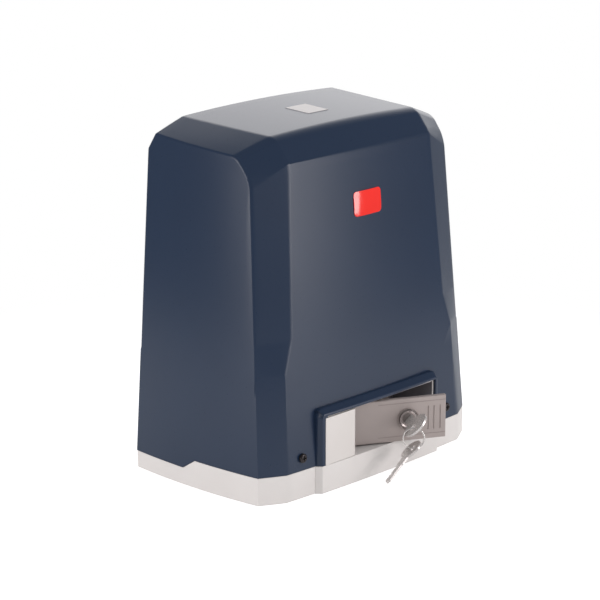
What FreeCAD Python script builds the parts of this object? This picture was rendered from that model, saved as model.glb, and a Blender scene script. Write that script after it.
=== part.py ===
import FreeCAD, Part
import math
import os

# Sliding gate motor. Millimetres, +Z up, +X to the right of someone facing the front, +Y towards the gate.
# The origin is the centre of the four base bolt slots on the underside of the base.

# ---- Base and cover tower ----
foot_half_width = 120.0
foot_front_corner_y = -66.6
foot_rear_corner_y = 63.4
foot_chamfer_x = 100.4
foot_front_y = -77.5
foot_rear_y = 74.5
side_bulge = 4.0
front_bulge = 3.4
rear_bulge = 1.5
head_half_width = 109.1
head_front_corner_y = -49.9
head_rear_corner_y = 56.6
head_chamfer_x = 78.9
head_front_y = -60.1
head_rear_y = 67.0
head_level = 260.0
kink_low = 97.0
kink_high = 123.0
kink_low_x = 95.9
kink_high_x = 87.6
head_front_bulge = 2.3
seam_front = 21.5
seam_rear = 13.3
seam_step_front_y = -4.0
seam_step_rear_y = 8.8
seam_gap = 0.3
cover_wall = 3.0
top_level = 272.0
top_slope = 0.05
top_front_edge_y = -46.0
crown_radius = 1600.0
front_bevel_drop = 18.0
front_bevel_run = 14.7
rear_bevel_y = 47.0
rear_bevel_drop = 18.0
rear_bevel_run = 13.5
side_bevel_x = 80.0
side_bevel_level = 270.0
side_bevel_slope = 0.39
side_bevel_rise = 0.065
facet_x = 0.407
facet_y = 0.707
facet_z = 0.578
rear_facet_x = 0.16
rear_facet_y = 0.80
rear_facet_z = 0.57
rear_chamfer_inset = 19.0
base_wall = 4.0
base_floor = 6.0

# ---- Release recess ----
recess_half_width = 62.9
recess_top = 58.9
frame_wall = 1.3
frame_gap = 0.2
frame_front_y = -81.5
recess_rear_y = -40.5
recess_rear_wall = 2.0
recess_roof = 2.4
block_right_x = -28.5
block_front_y = -84.0
block_edge_radius = 4.5
flare_half_width = 71.0
flare_front_half_width = 67.3
flare_root_y = -79.6
flare_depth = 20.0
flare_side_y = -83.6
flare_front_y = -85.0
flare_top = 66.0
flare_top_bevel = 4.0

# ---- Release lever and lock ----
lever_open_angle = 29.5
lever_full_angle = 62.0
lever_pivot_x = 6.1
lever_pivot_y = -76.0
lever_left_x = -27.2
lever_right_x = 58.0
lever_front_y = -84.0
lever_bottom = 22.7
lever_top = 57.0
lever_thickness = 4.0
lever_edge_radius = 1.0
hub_radius = 6.5
pin_radius = 3.0
pin_clearance = 0.05
groove_positions = (43.1, 47.7, 53.0)
groove_width = 1.2
groove_depth = 0.6
groove_bottom = 30.4
groove_top = 49.4
cam_start_radius = 9.0
cam_overrun = 15.0
cam_steps = 12
cam_height = 7.0
lock_x = 26.5
lock_z = 40.6
collar_radius = 8.5
collar_height = 2.0
lock_body_radius = 7.5
lock_body_length = 20.0
lock_nut_flats = 19.0
lock_nut_height = 3.0
plug_radius = 5.0
plug_clearance = 0.05
plug_recess = 0.5
plug_tail = 2.4
plug_tail_square = 5.0
plug_tail_sunk = 1.0
tongue_length = 15.5
tongue_width = 8.0
tongue_thickness = 2.0
tongue_screw_radius = 1.5
tongue_screw_head = 2.8
tongue_screw_depth = 2.0
strike_drop = 5.0
strike_thickness = 2.0
strike_gap = 1.0
key_thickness = 2.0
key_blade_width = 6.0
key_blade_length = 18.6
key_neck_length = 8.0
key_bow_half_width = 11.0
key_bow_half_length = 9.0
key_hole_radius = 2.8
key_hole_back = 17.0
key_hole_offset = 2.5
key_slot_clearance = 0.15
key_slot_spare = 0.5
key_cut_depths = (1.1, 0.6, 1.4, 0.8)
key_cut_start = 3.0
key_cut_pitch = 3.4
key_bow_overlap = 1.0
key_shoulder = 1.0
key_turn = 45.0
ring_radius = 8.2
ring_wire = 0.6
ring_facing = 47.0
spare_lean_x = 29.0
spare_lean_z = 19.5
spare_roll = 29.0

# ---- Gear train ----
shaft_z = 72.0
wheel_mid_y = -9.0
pressure_angle = 20.0
wheel_module = 2.0
wheel_teeth = 40
wheel_width = 20.0
wheel_rim_width = 12.0
worm_pitch_radius = 10.0
wheel_tooth_share = 0.44
wheel_web_share = 0.82
wheel_hub_wall = 2.0
worm_thread_share = 0.42
worm_length = 40.0
thread_root_overlap = 0.2
journal_radius = 7.5
body_radius = 11.0
shoulder_radius = 15.0
shoulder_width = 4.0
rear_journal_radius = 12.5
pinion_seat_radius = 10.0
bush_wall = 3.0
running_clearance = 0.05
circlip_thickness = 1.2
circlip_groove = 1.0
circlip_height = 3.0
dog_count = 6
dog_inner_radius = 15.5
dog_outer_radius = 20.0
dog_length = 4.5
dog_root = 0.5
dog_gap = 0.3
dog_side_gap = 2.0
sleeve_length = 18.0
sleeve_radius = 20.0
groove_radius = 15.3
fork_groove_width = 5.3
fork_groove_start = 7.2
fork_thickness = 5.0
fork_clearance = 0.3
fork_half_width = 25.0
fork_prong_top = 78.0
clutch_travel = 6.0
spring_wire = 1.8
spring_mean_radius = 13.3
spring_turns = 3.5
spring_wire_sides = 12
rod_radius = 3.0
rod_z = 26.2
rod_tip_gap = 0.6
rod_tail = 7.0
rod_guide_length = 14.0
rod_hole_clearance = 0.3
feather_width = 6.0
feather_height = 6.0
feather_sunk = 3.5
feather_length = 18.0
feather_gap = 0.05
pinion_module = 4.0
pinion_teeth = 18
pinion_width = 28.0
pinion_tooth_share = 0.48
pinion_start_y = 79.5
pinion_shaft_setback = 0.5
pinion_washer_radius = 16.0
pinion_washer_thickness = 3.0
pinion_bolt_radius = 4.0
pinion_bolt_flats = 13.0
pinion_bolt_head = 5.3
pinion_bolt_length = 22.0
pinion_bolt_end_gap = 2.0

# ---- Gearbox ----
gearbox_left_x = -50.0
gearbox_right_x = 70.0
gearbox_front_y = -30.5
gearbox_rear_y = 49.0
gearbox_top = 119.0
gearbox_bottom = 5.0
gearbox_wall = 5.0
boss_root = 1.0
gasket_thickness = 0.5
gearbox_cover_thickness = 6.0
lug_radius = 6.5
lug_length = 18.0
lug_levels = (32.0, 68.0, 110.0)
boss_radius = 36.0
boss_rear_y = 74.0
bearing_boss_wall = 3.5
bearing_spacer = 3.0
front_bearing = (7.5, 17.5, 11.0)
rear_bearing = (12.5, 26.0, 15.0)
worm_bearing = (5.0, 13.0, 8.0)
flange_bearing = (7.5, 16.0, 9.0)
shield_bearing = (6.0, 14.0, 8.0)
bearing_retaining_lip = 2.0
ball_share = 0.27
ball_pitch = 2.7
seal_outer_radius = 20.0
seal_width = 7.0
seal_setback = 1.0
worm_bearing_level = 22.0
worm_bearing_seat_wall = 5.0
worm_bearing_ledge = 4.0
screw_radius = 2.5
screw_head_radius = 4.25
screw_head_height = 5.0
screw_length = 16.0
flange_screw_angles = (80.0, 120.0, 150.0)
flange_screw_outset = 6.0
flange_ear_radius = 7.0
flange_ledge = 4.0

# ---- Motor ----
motor_radius = 44.0
flange_thickness = 6.0
flange_spigot_radius = 18.5
flange_rim_height = 15.0
flange_rim_wall = 6.6
stator_height = 55.0
stator_bore_radius = 24.4
rotor_radius = 24.0
rotor_shaft_radius = 8.0
winding_inner_radius = 26.0
winding_inset = 7.2
winding_height = 11.0
shield_rim_height = 15.0
shield_thickness = 6.0
shield_bearing_wall = 4.0
shield_bearing_level = 206.0
tie_screw_inset = 3.3
tie_screw_radius = 2.0
tie_screw_head_radius = 3.8
tie_screw_head_height = 4.0
tie_screw_length = 88.0

# ---- Pieces on the base and around the motor ----
slot_spacing_x = 180.0
slot_spacing_y = 100.0
slot_radius = 6.0
slot_length = 24.0
cable_entry_inset = 40.0
cable_entry_y = -24.0
cable_entry_length = 36.0
cable_entry_width = 20.0
grommet_wall = 2.5
grommet_lip = 2.5
grommet_lip_height = 2.0
capacitor_x = -29.0
capacitor_y = 22.0
capacitor_radius = 18.0
capacitor_height = 80.0
capacitor_edge = 2.0
tab_half_width = 3.0
tab_half_thickness = 0.4
tab_height = 8.0
tab_offset = 7.0
transformer_x = -81.0
transformer_y = 14.0
transformer_width = 40.0
transformer_depth = 24.0
transformer_height = 48.0
transformer_leg = 12.0
transformer_side_leg = 6.0
transformer_yoke = 8.0
coil_overhang = 8.0
coil_gap = 0.3
board_left_x = -96.0
board_right_x = -10.0
board_bottom = 132.0
board_top = 232.0
board_front_y = -46.6
board_thickness = 1.6
standoff_length = 5.0
standoff_radius = 3.5
standoff_inset = 5.0
board_screw_radius = 1.5
board_screw_head = 2.9
board_screw_height = 1.8
board_screw_length = 5.0
carrier_wall = 3.0
carrier_foot_depth = 27.0
carrier_inset = 2.0
terminal_pitch = 22.0
terminal_width = 20.0
terminal_height = 10.0
terminal_depth = 9.0
terminal_edge = 2.5
terminal_screw_pitch = 5.0
terminal_screw_radius = 1.7
terminal_screw_depth = 4.0
relay_pitch = 17.0
relay_width = 15.0
relay_height = 19.0
relay_depth = 11.0
relay_bottom = 200.0
display_left_x = -80.0
display_bottom = 197.0
display_width = 26.0
display_height = 14.0
display_depth = 4.5
button_positions = (-74.0, -62.0, -50.0)
button_level = 186.0
button_radius = 2.2
button_height = 3.0
button_travel = 0.4
switch_size = 6.0
switch_height = 3.5
switch_gap = 0.1
limit_half_width = 15.0
limit_front_y = 41.0
limit_rear_y = 65.0
limit_level = 150.0
limit_body_height = 22.0
limit_pivot_y = 59.0
limit_wall = 3.0
limit_mouth_gap = 2.0
wand_hub_gap = 0.3
wand_radius = 3.0
wand_reach_y = 112.0
wand_hub_radius = 5.0
window_half_width = 10.5
window_half_height = 6.0
wand_swing = 25.0

# ---- Cover trim ----
cover_screw_x = 84.0
cover_screw_z = 31.5
cover_screw_radius = 1.9
cover_screw_head = 3.6
cover_screw_head_height = 2.2
cover_screw_length = 12.0
cover_screw_gap = 0.25
cover_hole_clearance = 0.2
cover_screw_dome = 0.6
cross_arm = 0.6
cross_half_width = 0.13
cross_depth = 0.6
cover_lug_width = 12.0
cover_lug_depth = 9.0
cover_lug_gap = 1.0
badge_x = 0.8
badge_z = 211.6
badge_width = 30.5
badge_height = 19.0
badge_thickness = 1.4
badge_corner = 3.0
badge_dome = 0.8
label_x = 3.0
label_y = -2.0
label_width = 22.0
label_depth = 24.0
label_thickness = 0.3
trim_seat_gap = 0.02
notch_clearance = 1.0

X = FreeCAD.Vector(1, 0, 0)
Y = FreeCAD.Vector(0, 1, 0)
Z = FreeCAD.Vector(0, 0, 1)


def point(x, y, z=0.0):
    return FreeCAD.Vector(x, y, z)


def box(x0, x1, y0, y1, z0, z1):
    return Part.makeBox(x1 - x0, y1 - y0, z1 - z0, point(x0, y0, z0))


def rod_y(x, z, radius, y0, y1):
    return Part.makeCylinder(radius, y1 - y0, point(x, y0, z), Y)


def rod_z_axis(x, y, radius, z0, z1):
    return Part.makeCylinder(radius, z1 - z0, point(x, y, z0), Z)


def ring_y(x, z, outer, inner, y0, y1):
    return rod_y(x, z, outer, y0, y1).cut(rod_y(x, z, inner, y0, y1))


def ring_z(x, y, outer, inner, z0, z1):
    return rod_z_axis(x, y, outer, z0, z1).cut(rod_z_axis(x, y, inner, z0, z1))


def prism(corners, direction):
    """A solid swept from a closed flat outline of straight sides."""
    wire = Part.makePolygon(corners + [corners[0]])
    return Part.Face(wire).extrude(direction)


def hexagon_y(x, z, flats, y0, y1):
    reach = flats / 2 / math.cos(math.pi / 6)
    turns = [math.radians(30 + 60 * i) for i in range(6)]
    corners = [point(x + reach * math.cos(a), y0, z + reach * math.sin(a)) for a in turns]
    return prism(corners, point(0, y1 - y0, 0))


def fuse(shapes):
    joined = shapes[0].multiFuse(shapes[1:]) if len(shapes) > 1 else shapes[0]
    return joined.removeSplitter()


def save(name, shape):
    """Writes one sub-part; a list of solids becomes one file of separate pieces."""
    os.makedirs("parts", exist_ok=True)
    if isinstance(shape, list):
        shape = Part.makeCompound([solid for piece in shape for solid in piece.Solids])
    elif len(shape.Solids) == 1:
        shape = shape.Solids[0]
    shape.exportStep(f"parts/{name}.step")
    print(name, len(shape.Solids), shape.isValid(), round(shape.Volume / 1000, 2))
    return shape


# ---- Tower outline shared by the cover and the base ----

def between(low, high, level, low_level, high_level):
    return low + (high - low) * (level - low_level) / (high_level - low_level)


def tower_value(foot, head, level):
    return between(foot, head, level, seam_front, head_level)


def chamfer_edge_x(level):
    """Where the front face meets the corner band: it steps inwards between the two kink levels."""
    if level <= kink_low:
        return between(foot_chamfer_x, kink_low_x, level, seam_front, kink_low)
    if level <= kink_high:
        return between(kink_low_x, kink_high_x, level, kink_low, kink_high)
    return between(kink_high_x, head_chamfer_x, level, kink_high, head_level)


def front_mid_y(level):
    return tower_value(foot_front_y - front_bulge, head_front_y - head_front_bulge, level)


def front_y(x, level):
    """Depth of the gently curved front face at one width and level."""
    bulge = tower_value(front_bulge, head_front_bulge, level)
    reach = tower_value(foot_chamfer_x, head_chamfer_x, level)
    return front_mid_y(level) + bulge * (x / reach) ** 2


def tower_corners(level):
    side = tower_value(foot_half_width, head_half_width, level)
    side_front = tower_value(foot_front_corner_y, head_front_corner_y, level)
    side_rear = tower_value(foot_rear_corner_y, head_rear_corner_y, level)
    chamfer = chamfer_edge_x(level)
    rear_chamfer = tower_value(foot_chamfer_x, head_half_width - rear_chamfer_inset, level)
    rear = tower_value(foot_rear_y, head_rear_y, level)
    front = front_y(chamfer, level)
    right = [
        point(chamfer, front, level),
        point(side, side_front, level),
        point(side, side_rear, level),
        point(rear_chamfer, rear, level),
    ]
    left = [point(-p.x, p.y, level) for p in reversed(right)]
    return right + left


def inward(start, end):
    """Unit normal to the left of a line, which is the inside of an anticlockwise outline."""
    along = (end - start).normalize()
    return point(-along.y, along.x)


def inset(corners, distance):
    """Moves every side of an anticlockwise outline inwards by the same distance."""
    moved = []
    for i, here in enumerate(corners):
        before = inward(corners[i - 1], here)
        after = inward(here, corners[(i + 1) % len(corners)])
        moved.append(here + (before + after) * (distance / (1 + before.dot(after))))
    return moved


def tower_wire(level, distance):
    """Closed outline of the tower at one level: straight corner bands, bulging sides, front and rear."""
    corners = inset(tower_corners(level), distance)
    front = corners[0].y - front_mid_y(level) - distance
    bulges = (0.0, side_bulge, 0.0, rear_bulge, 0.0, side_bulge, 0.0, front)
    edges = []
    for i, bulge in enumerate(bulges):
        start = corners[i]
        end = corners[(i + 1) % len(corners)]
        if bulge:
            middle = (start + end) * 0.5 - inward(start, end) * bulge
            edges.append(Part.Arc(start, middle, end).toShape())
        else:
            edges.append(Part.makeLine(start, end))
    return Part.Wire(edges)


def tower(distance, bottom):
    levels = (bottom, kink_low, kink_high, head_level + 40.0)
    return Part.makeLoft([tower_wire(level, distance) for level in levels], True, True)


def trim(shape, corner, outward, distance):
    """Cuts off what lies beyond a plane that is moved inwards by a distance."""
    outward = FreeCAD.Vector(outward).normalize()
    size = 8 * foot_half_width
    block = Part.makeBox(size, size, size, point(-size / 2, -size / 2, 0))
    block.Placement = FreeCAD.Placement(corner - outward * distance, FreeCAD.Rotation(Z, outward))
    return shape.cut(block)


def top_trimmed(shape, distance):
    """Gives the tower its sloping crowned top, its bevels and its four corner facets."""
    side_corner = point(side_bevel_x, top_front_edge_y, side_bevel_level)
    for sign in (-1, 1):
        corner = point(sign * side_corner.x, side_corner.y, side_corner.z)
        shape = trim(shape, corner, point(sign * side_bevel_slope, -side_bevel_rise, 1), distance)
    front_corner = point(0, top_front_edge_y, side_bevel_level)
    shape = trim(shape, front_corner, point(0, -front_bevel_drop, front_bevel_run), distance)
    rear_corner = point(0, rear_bevel_y, side_bevel_level + top_slope * (rear_bevel_y - top_front_edge_y))
    shape = trim(shape, rear_corner, point(0, rear_bevel_drop, rear_bevel_run), distance)
    for sign in (-1, 1):
        side = sign * side_bevel_x
        front = point(side, top_front_edge_y, side_bevel_level)
        rear = point(side, rear_corner.y, rear_corner.z)
        shape = trim(shape, front, point(sign * facet_x, -facet_y, facet_z), distance)
        shape = trim(shape, rear, point(sign * rear_facet_x, rear_facet_y, rear_facet_z), distance)
    reach = 4 * foot_half_width
    upright_radius = crown_radius * math.hypot(1, top_slope)
    crown_start = top_level - upright_radius - top_slope * (reach + top_front_edge_y)
    crown = Part.makeCylinder(
        crown_radius - distance, 2 * reach, point(0, -reach, crown_start), point(0, 1, top_slope)
    )
    return shape.common(crown)


def seam_profile(shift):
    """Everything below the line where the cover meets the base, moved up by a shift."""
    reach = 2 * foot_half_width
    outline = [
        (-reach, -reach),
        (-reach, seam_front + shift),
        (seam_step_front_y, seam_front + shift),
        (seam_step_rear_y, seam_rear + shift),
        (reach, seam_rear + shift),
        (reach, -reach),
    ]
    corners = [point(-reach, y, z) for y, z in outline]
    return prism(corners, point(2 * reach, 0, 0))


def flare_outline(distance, level):
    """Plan of the bulge round the release recess: 45 degree cheeks and a gently curved front."""
    side = flare_half_width - distance
    nose = flare_front_half_width - distance
    start = point(-nose, flare_side_y + distance, level)
    end = point(nose, flare_side_y + distance, level)
    back = foot_front_y + flare_depth
    return Part.Wire([
        Part.makeLine(point(-side, flare_root_y, level), start),
        Part.Arc(start, point(0, flare_front_y + distance, level), end).toShape(),
        Part.makeLine(end, point(side, flare_root_y, level)),
        Part.makeLine(point(side, flare_root_y, level), point(side, back, level)),
        Part.makeLine(point(side, back, level), point(-side, back, level)),
        Part.makeLine(point(-side, back, level), point(-side, flare_root_y, level)),
    ])


def flare(distance, bottom, top):
    return Part.Face(flare_outline(distance, bottom)).extrude(point(0, 0, top - bottom))


# ---- Positions worked out from the sizes ----
pull_share = lever_open_angle / lever_full_angle
rest_shift = clutch_travel * pull_share
cam_rest_radius = cam_start_radius + rest_shift
wheel_front = wheel_mid_y - wheel_width / 2
wheel_rear = wheel_mid_y + wheel_width / 2
wheel_pitch_radius = wheel_module * wheel_teeth / 2
worm_x = wheel_pitch_radius + worm_pitch_radius
sleeve_front = wheel_rear + dog_length + dog_gap + rest_shift
sleeve_rear = sleeve_front + sleeve_length
cover_plate_rear = gearbox_front_y - gasket_thickness
cover_plate_front = cover_plate_rear - gearbox_cover_thickness
cavity_rear = gearbox_rear_y - gearbox_wall - boss_root
cavity_bottom = gearbox_bottom + gearbox_wall
cavity_top = gearbox_top - gearbox_wall
rear_bearing_front = cavity_rear + shoulder_width
rear_bearing_rear = rear_bearing_front + rear_bearing[2]
front_bearing_rear = wheel_front - bearing_spacer
front_bearing_front = front_bearing_rear - front_bearing[2]
rod_front = lever_pivot_y + cam_rest_radius + rod_tip_gap
rod_rear = cavity_rear + rod_tail
flange_top = gearbox_top + flange_thickness
flange_bearing_level = flange_top - flange_bearing[2] - bearing_retaining_lip / 2
stator_bottom = flange_top + flange_rim_height
stator_top = stator_bottom + stator_height
shield_top = stator_top + shield_rim_height + shield_thickness
motor_centre = point(worm_x, wheel_mid_y)
flange_screw_circle = motor_radius + flange_screw_outset
tie_screw_circle = motor_radius - tie_screw_inset
winding_outer_radius = motor_radius - winding_inset
recess_outer = recess_half_width + frame_wall
recess_ceiling = recess_top + frame_wall
roof_level = recess_ceiling - recess_roof
cable_entry_x = cable_entry_inset - foot_half_width
deck = seam_front + frame_gap


# ---- Cover ----

def make_cover():
    outer = top_trimmed(tower(0.0, 0.0), 0.0)
    bulge = flare(0.0, 0.0, flare_top)
    bevel_corner = point(0, flare_side_y, flare_top - flare_top_bevel)
    bulge = trim(bulge, bevel_corner, point(0, -1, 1), 0.0)
    inner = top_trimmed(tower(cover_wall, -seam_front), cover_wall)
    opening = box(
        -recess_outer - frame_gap, recess_outer + frame_gap,
        flare_front_y - 1, flare_root_y + flare_depth, -1, recess_ceiling + frame_gap,
    )
    notch_radius = boss_radius + notch_clearance
    notch_front = cavity_rear
    notch = rod_y(0, shaft_z, notch_radius, notch_front, 2 * boss_rear_y).fuse(
        box(-notch_radius, notch_radius, notch_front, 2 * boss_rear_y, -1, shaft_z)
    )
    window = box(
        -window_half_width, window_half_width, limit_rear_y, 2 * boss_rear_y,
        limit_level - window_half_height, limit_level + window_half_height,
    )
    shell = fuse([outer, bulge]).cut(inner).cut(opening).cut(notch).cut(window)
    shell = shell.cut(seam_profile(seam_gap))
    for sign in (-1, 1):
        hole_radius = cover_screw_radius + cover_hole_clearance
        hole = rod_y(sign * cover_screw_x, cover_screw_z, hole_radius, flare_front_y, foot_front_y / 2)
        shell = shell.cut(hole)
    return shell


def make_cover_screws():
    """Pan head screws with a cross recess, one at each front corner."""
    seat = front_y(cover_screw_x - cover_screw_head, cover_screw_z) - cover_screw_gap
    screws = []
    for sign in (-1, 1):
        x = sign * cover_screw_x
        head = rod_y(x, cover_screw_z, cover_screw_head, seat - cover_screw_head_height, seat)
        rim = head.Edges[0] if head.Edges[0].CenterOfMass.y < head.Edges[2].CenterOfMass.y else head.Edges[2]
        head = head.makeFillet(cover_screw_head_height * cover_screw_dome, [rim])
        shank = rod_y(x, cover_screw_z, cover_screw_radius, seat, seat + cover_screw_length)
        arm = cover_screw_head * cross_arm
        blade = cover_screw_head * cross_half_width
        crown = seat - cover_screw_head_height
        bottom = crown + cover_screw_head_height * cross_depth
        cross = box(x - arm, x + arm, crown - 1, bottom, cover_screw_z - blade, cover_screw_z + blade).fuse(
            box(x - blade, x + blade, crown - 1, bottom, cover_screw_z - arm, cover_screw_z + arm)
        )
        screws.append(fuse([head, shank]).cut(cross))
    return screws


def rounded_plate(width, height, thickness, corner):
    plate = Part.makeBox(width, height, thickness, point(-width / 2, -height / 2, 0))
    upright = [e for e in plate.Edges if abs(e.tangentAt(e.FirstParameter).z) > 0.9]
    return plate.makeFillet(corner, upright)


def make_badge():
    """Plain domed plate on the front, leaning back with it."""
    plate = rounded_plate(badge_width, badge_height, badge_thickness, badge_corner)
    dome = (badge_width / 2) ** 2 / (2 * badge_dome)
    plate = plate.common(Part.makeSphere(dome, point(0, 0, badge_thickness - dome)))
    lean = front_y(badge_x, badge_z + 1) - front_y(badge_x, badge_z)
    seat = point(badge_x, front_y(badge_x, badge_z) - trim_seat_gap, badge_z)
    outward = point(0, -1, lean)
    plate.Placement = FreeCAD.Placement(seat, FreeCAD.Rotation(X, point(0, lean, 1), outward, "ZXY"))
    return plate


def make_label():
    """Blank rating label lying on the sloping top."""
    corner = point(-label_width / 2, -label_depth / 2)
    plate = Part.makeBox(label_width, label_depth, label_thickness, corner)
    drop = label_x ** 2 / (2 * crown_radius)
    level = top_level + top_slope * (label_y - top_front_edge_y) - drop + trim_seat_gap
    upward = point(0, -top_slope, 1)
    plate.Placement = FreeCAD.Placement(
        point(label_x, label_y, level), FreeCAD.Rotation(X, point(0, 1, top_slope), upward, "ZXY")
    )
    return plate


# ---- Base casting ----

def slot(x, y, radius, length, z0, z1):
    """Round ended hole running along X."""
    half = length / 2 - radius
    middle = box(x - half, x + half, y - radius, y + radius, z0, z1)
    ends = [rod_z_axis(x + sign * half, y, radius, z0, z1) for sign in (-1, 1)]
    return fuse([middle] + ends)


def lug_places():
    return [(x, z) for x in (gearbox_left_x, gearbox_right_x) for z in lug_levels]


def flange_screw_places():
    places = []
    for angle in flange_screw_angles:
        turn = math.radians(angle)
        places.append((
            motor_centre.x + flange_screw_circle * math.cos(turn),
            motor_centre.y + flange_screw_circle * math.sin(turn),
        ))
    return places


def base_prism(distance, bottom):
    wire = tower_wire(seam_front, distance)
    wire.translate(point(0, 0, bottom - seam_front))
    return Part.Face(wire).extrude(point(0, 0, seam_front - bottom))


def make_base():
    skirt = base_prism(0.0, 0.0).fuse(flare(0.0, 0.0, seam_front))
    skirt = skirt.common(seam_profile(0.0)).cut(base_prism(base_wall, base_floor))
    shelf_rear = recess_rear_y + recess_rear_wall
    shelf = box(-recess_outer, recess_outer, flare_root_y, shelf_rear, 0, seam_front)
    shelf = shelf.cut(
        box(
            -recess_outer + base_wall, recess_outer - base_wall,
            flare_root_y + 2 * base_wall, shelf_rear + 1,
            base_floor, seam_front - 2 * base_wall,
        )
    )
    block = box(gearbox_left_x, gearbox_right_x, gearbox_front_y, gearbox_rear_y, gearbox_bottom, gearbox_top)
    lugs = [rod_y(x, z, lug_radius, gearbox_front_y, gearbox_front_y + lug_length) for x, z in lug_places()]
    boss = rod_y(0, shaft_z, boss_radius, cavity_rear, boss_rear_y)
    apron = box(-boss_radius, boss_radius, boss_rear_y - 2 * base_wall, boss_rear_y, 0, shaft_z)
    guide_rear = cavity_rear + rod_guide_length
    guide = rod_y(lever_pivot_x, rod_z, rod_radius + base_wall, cavity_rear, guide_rear + base_wall)
    cavity = box(
        gearbox_left_x + gearbox_wall, gearbox_right_x - gearbox_wall, gearbox_front_y - 1, cavity_rear,
        cavity_bottom, cavity_top,
    )
    worm_seat = rod_z_axis(
        worm_x, wheel_mid_y, worm_bearing[1] + worm_bearing_seat_wall,
        cavity_bottom - 1, worm_bearing_level + worm_bearing[2],
    )
    ledge_radius = worm_bearing[1] - worm_bearing_ledge
    worm_seat = worm_seat.cut(
        rod_z_axis(worm_x, wheel_mid_y, worm_bearing[1], worm_bearing_level, gearbox_top)
    ).cut(
        rod_z_axis(worm_x, wheel_mid_y, ledge_radius, worm_bearing_level - worm_bearing_ledge, gearbox_top)
    )
    lug_front = front_y(cover_screw_x, cover_screw_z) + cover_wall + cover_lug_gap
    posts = [
        box(
            sign * cover_screw_x - cover_lug_width / 2, sign * cover_screw_x + cover_lug_width / 2,
            lug_front, lug_front + cover_lug_depth, 0, cover_screw_z + cover_lug_width / 2,
        )
        for sign in (-1, 1)
    ]
    base = fuse([skirt, shelf, block] + lugs + [boss, apron, guide]).cut(cavity)
    base = fuse([base, worm_seat] + posts)
    cuts = [
        rod_y(0, shaft_z, rear_bearing[1], cavity_rear - 1, rear_bearing_rear),
        rod_y(0, shaft_z, seal_outer_radius, rear_bearing_rear - 1, boss_rear_y + 1),
        rod_y(lever_pivot_x, rod_z, rod_radius + pin_clearance, cavity_rear - 1, guide_rear),
        rod_z_axis(lever_pivot_x, lever_pivot_y, pin_radius, base_floor, seam_front + 1),
        rod_z_axis(worm_x, wheel_mid_y, flange_spigot_radius, cavity_top - 1, gearbox_top + 1),
        slot(cable_entry_x, cable_entry_y, cable_entry_width / 2, cable_entry_length, -1, base_floor + 1),
    ]
    cuts += [
        slot(i * slot_spacing_x / 2, j * slot_spacing_y / 2, slot_radius, slot_length, -1, base_floor + 1)
        for i in (-1, 1)
        for j in (-1, 1)
    ]
    plate_depth = gasket_thickness + gearbox_cover_thickness
    cuts += [
        rod_y(x, z, screw_radius, gearbox_front_y - 1, gearbox_front_y + screw_length - plate_depth + 1)
        for x, z in lug_places()
    ]
    cuts += [
        rod_z_axis(x, y, screw_radius, cavity_top - 1, gearbox_top + 1)
        for x, y in flange_screw_places()
    ]
    lug_rear = lug_front + cover_lug_depth
    cuts += [
        rod_y(sign * cover_screw_x, cover_screw_z, cover_screw_radius, lug_front - 1, lug_rear + 1)
        for sign in (-1, 1)
    ]
    return base.cut(Part.makeCompound(cuts))


def make_grommet():
    """Rubber lining of the cable entry with a lip above the floor."""
    radius = cable_entry_width / 2
    body = slot(cable_entry_x, cable_entry_y, radius, cable_entry_length, 0.5, base_floor)
    lip = slot(
        cable_entry_x, cable_entry_y, radius + grommet_lip, cable_entry_length + 2 * grommet_lip,
        base_floor, base_floor + grommet_lip_height,
    )
    hole = slot(
        cable_entry_x, cable_entry_y, radius - grommet_wall, cable_entry_length - 2 * grommet_wall,
        -1, base_floor + grommet_lip_height + 1,
    )
    return fuse([body, lip]).cut(hole)


# ---- Release recess, lever and lock ----

def make_release_housing():
    """Pocket for the lever: a thin bright frame, a fixed block on the left, a roof and a rear wall."""
    rear = recess_rear_y + recess_rear_wall
    lip_rear = frame_front_y + frame_wall
    roof = box(-recess_outer, recess_outer, lip_rear, rear, roof_level, recess_ceiling)
    lip = box(-recess_outer, recess_outer, frame_front_y, lip_rear, recess_top, recess_ceiling)
    right = box(recess_half_width, recess_outer, frame_front_y, rear, deck, recess_ceiling)
    back = box(block_right_x - frame_wall, recess_outer, recess_rear_y, rear, deck, recess_ceiling)
    block = box(-recess_outer, block_right_x, block_front_y, rear, deck, recess_top)
    edge = [
        e for e in block.Edges
        if abs(e.tangentAt(e.FirstParameter).z) > 0.9
        and abs(e.CenterOfMass.x - block_right_x) < 0.01
        and e.CenterOfMass.y < rear - 1
    ]
    block = block.makeFillet(block_edge_radius, edge)
    wall = 2 * frame_wall
    hollow = box(
        -recess_outer + wall, block_right_x - wall, block_front_y + 2 * wall, rear + 1,
        deck + wall, roof_level - wall,
    )
    strike_front = lock_tongue_front_y() - strike_gap - strike_thickness
    strike = box(
        lock_x - tongue_width / 2, lock_x + tongue_width / 2, strike_front, strike_front + strike_thickness,
        roof_level - strike_drop, recess_ceiling,
    )
    housing = fuse([roof, lip, right, back, block, strike]).cut(hollow)
    rod_hole = rod_y(lever_pivot_x, rod_z, rod_radius + rod_hole_clearance, recess_rear_y - 1, rear + 1)
    pin_hole = rod_z_axis(lever_pivot_x, lever_pivot_y, pin_radius, roof_level - 1, recess_ceiling + 1)
    return housing.cut(rod_hole).cut(pin_hole)


def opened(shape):
    """Turns a piece drawn with the lever shut to where it stands with the lever open."""
    turned = shape.copy()
    turned.rotate(point(lever_pivot_x, lever_pivot_y), Z, -lever_open_angle)
    return turned


def lock_tongue_front_y():
    return lever_front_y + lock_body_length + plug_clearance


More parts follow.
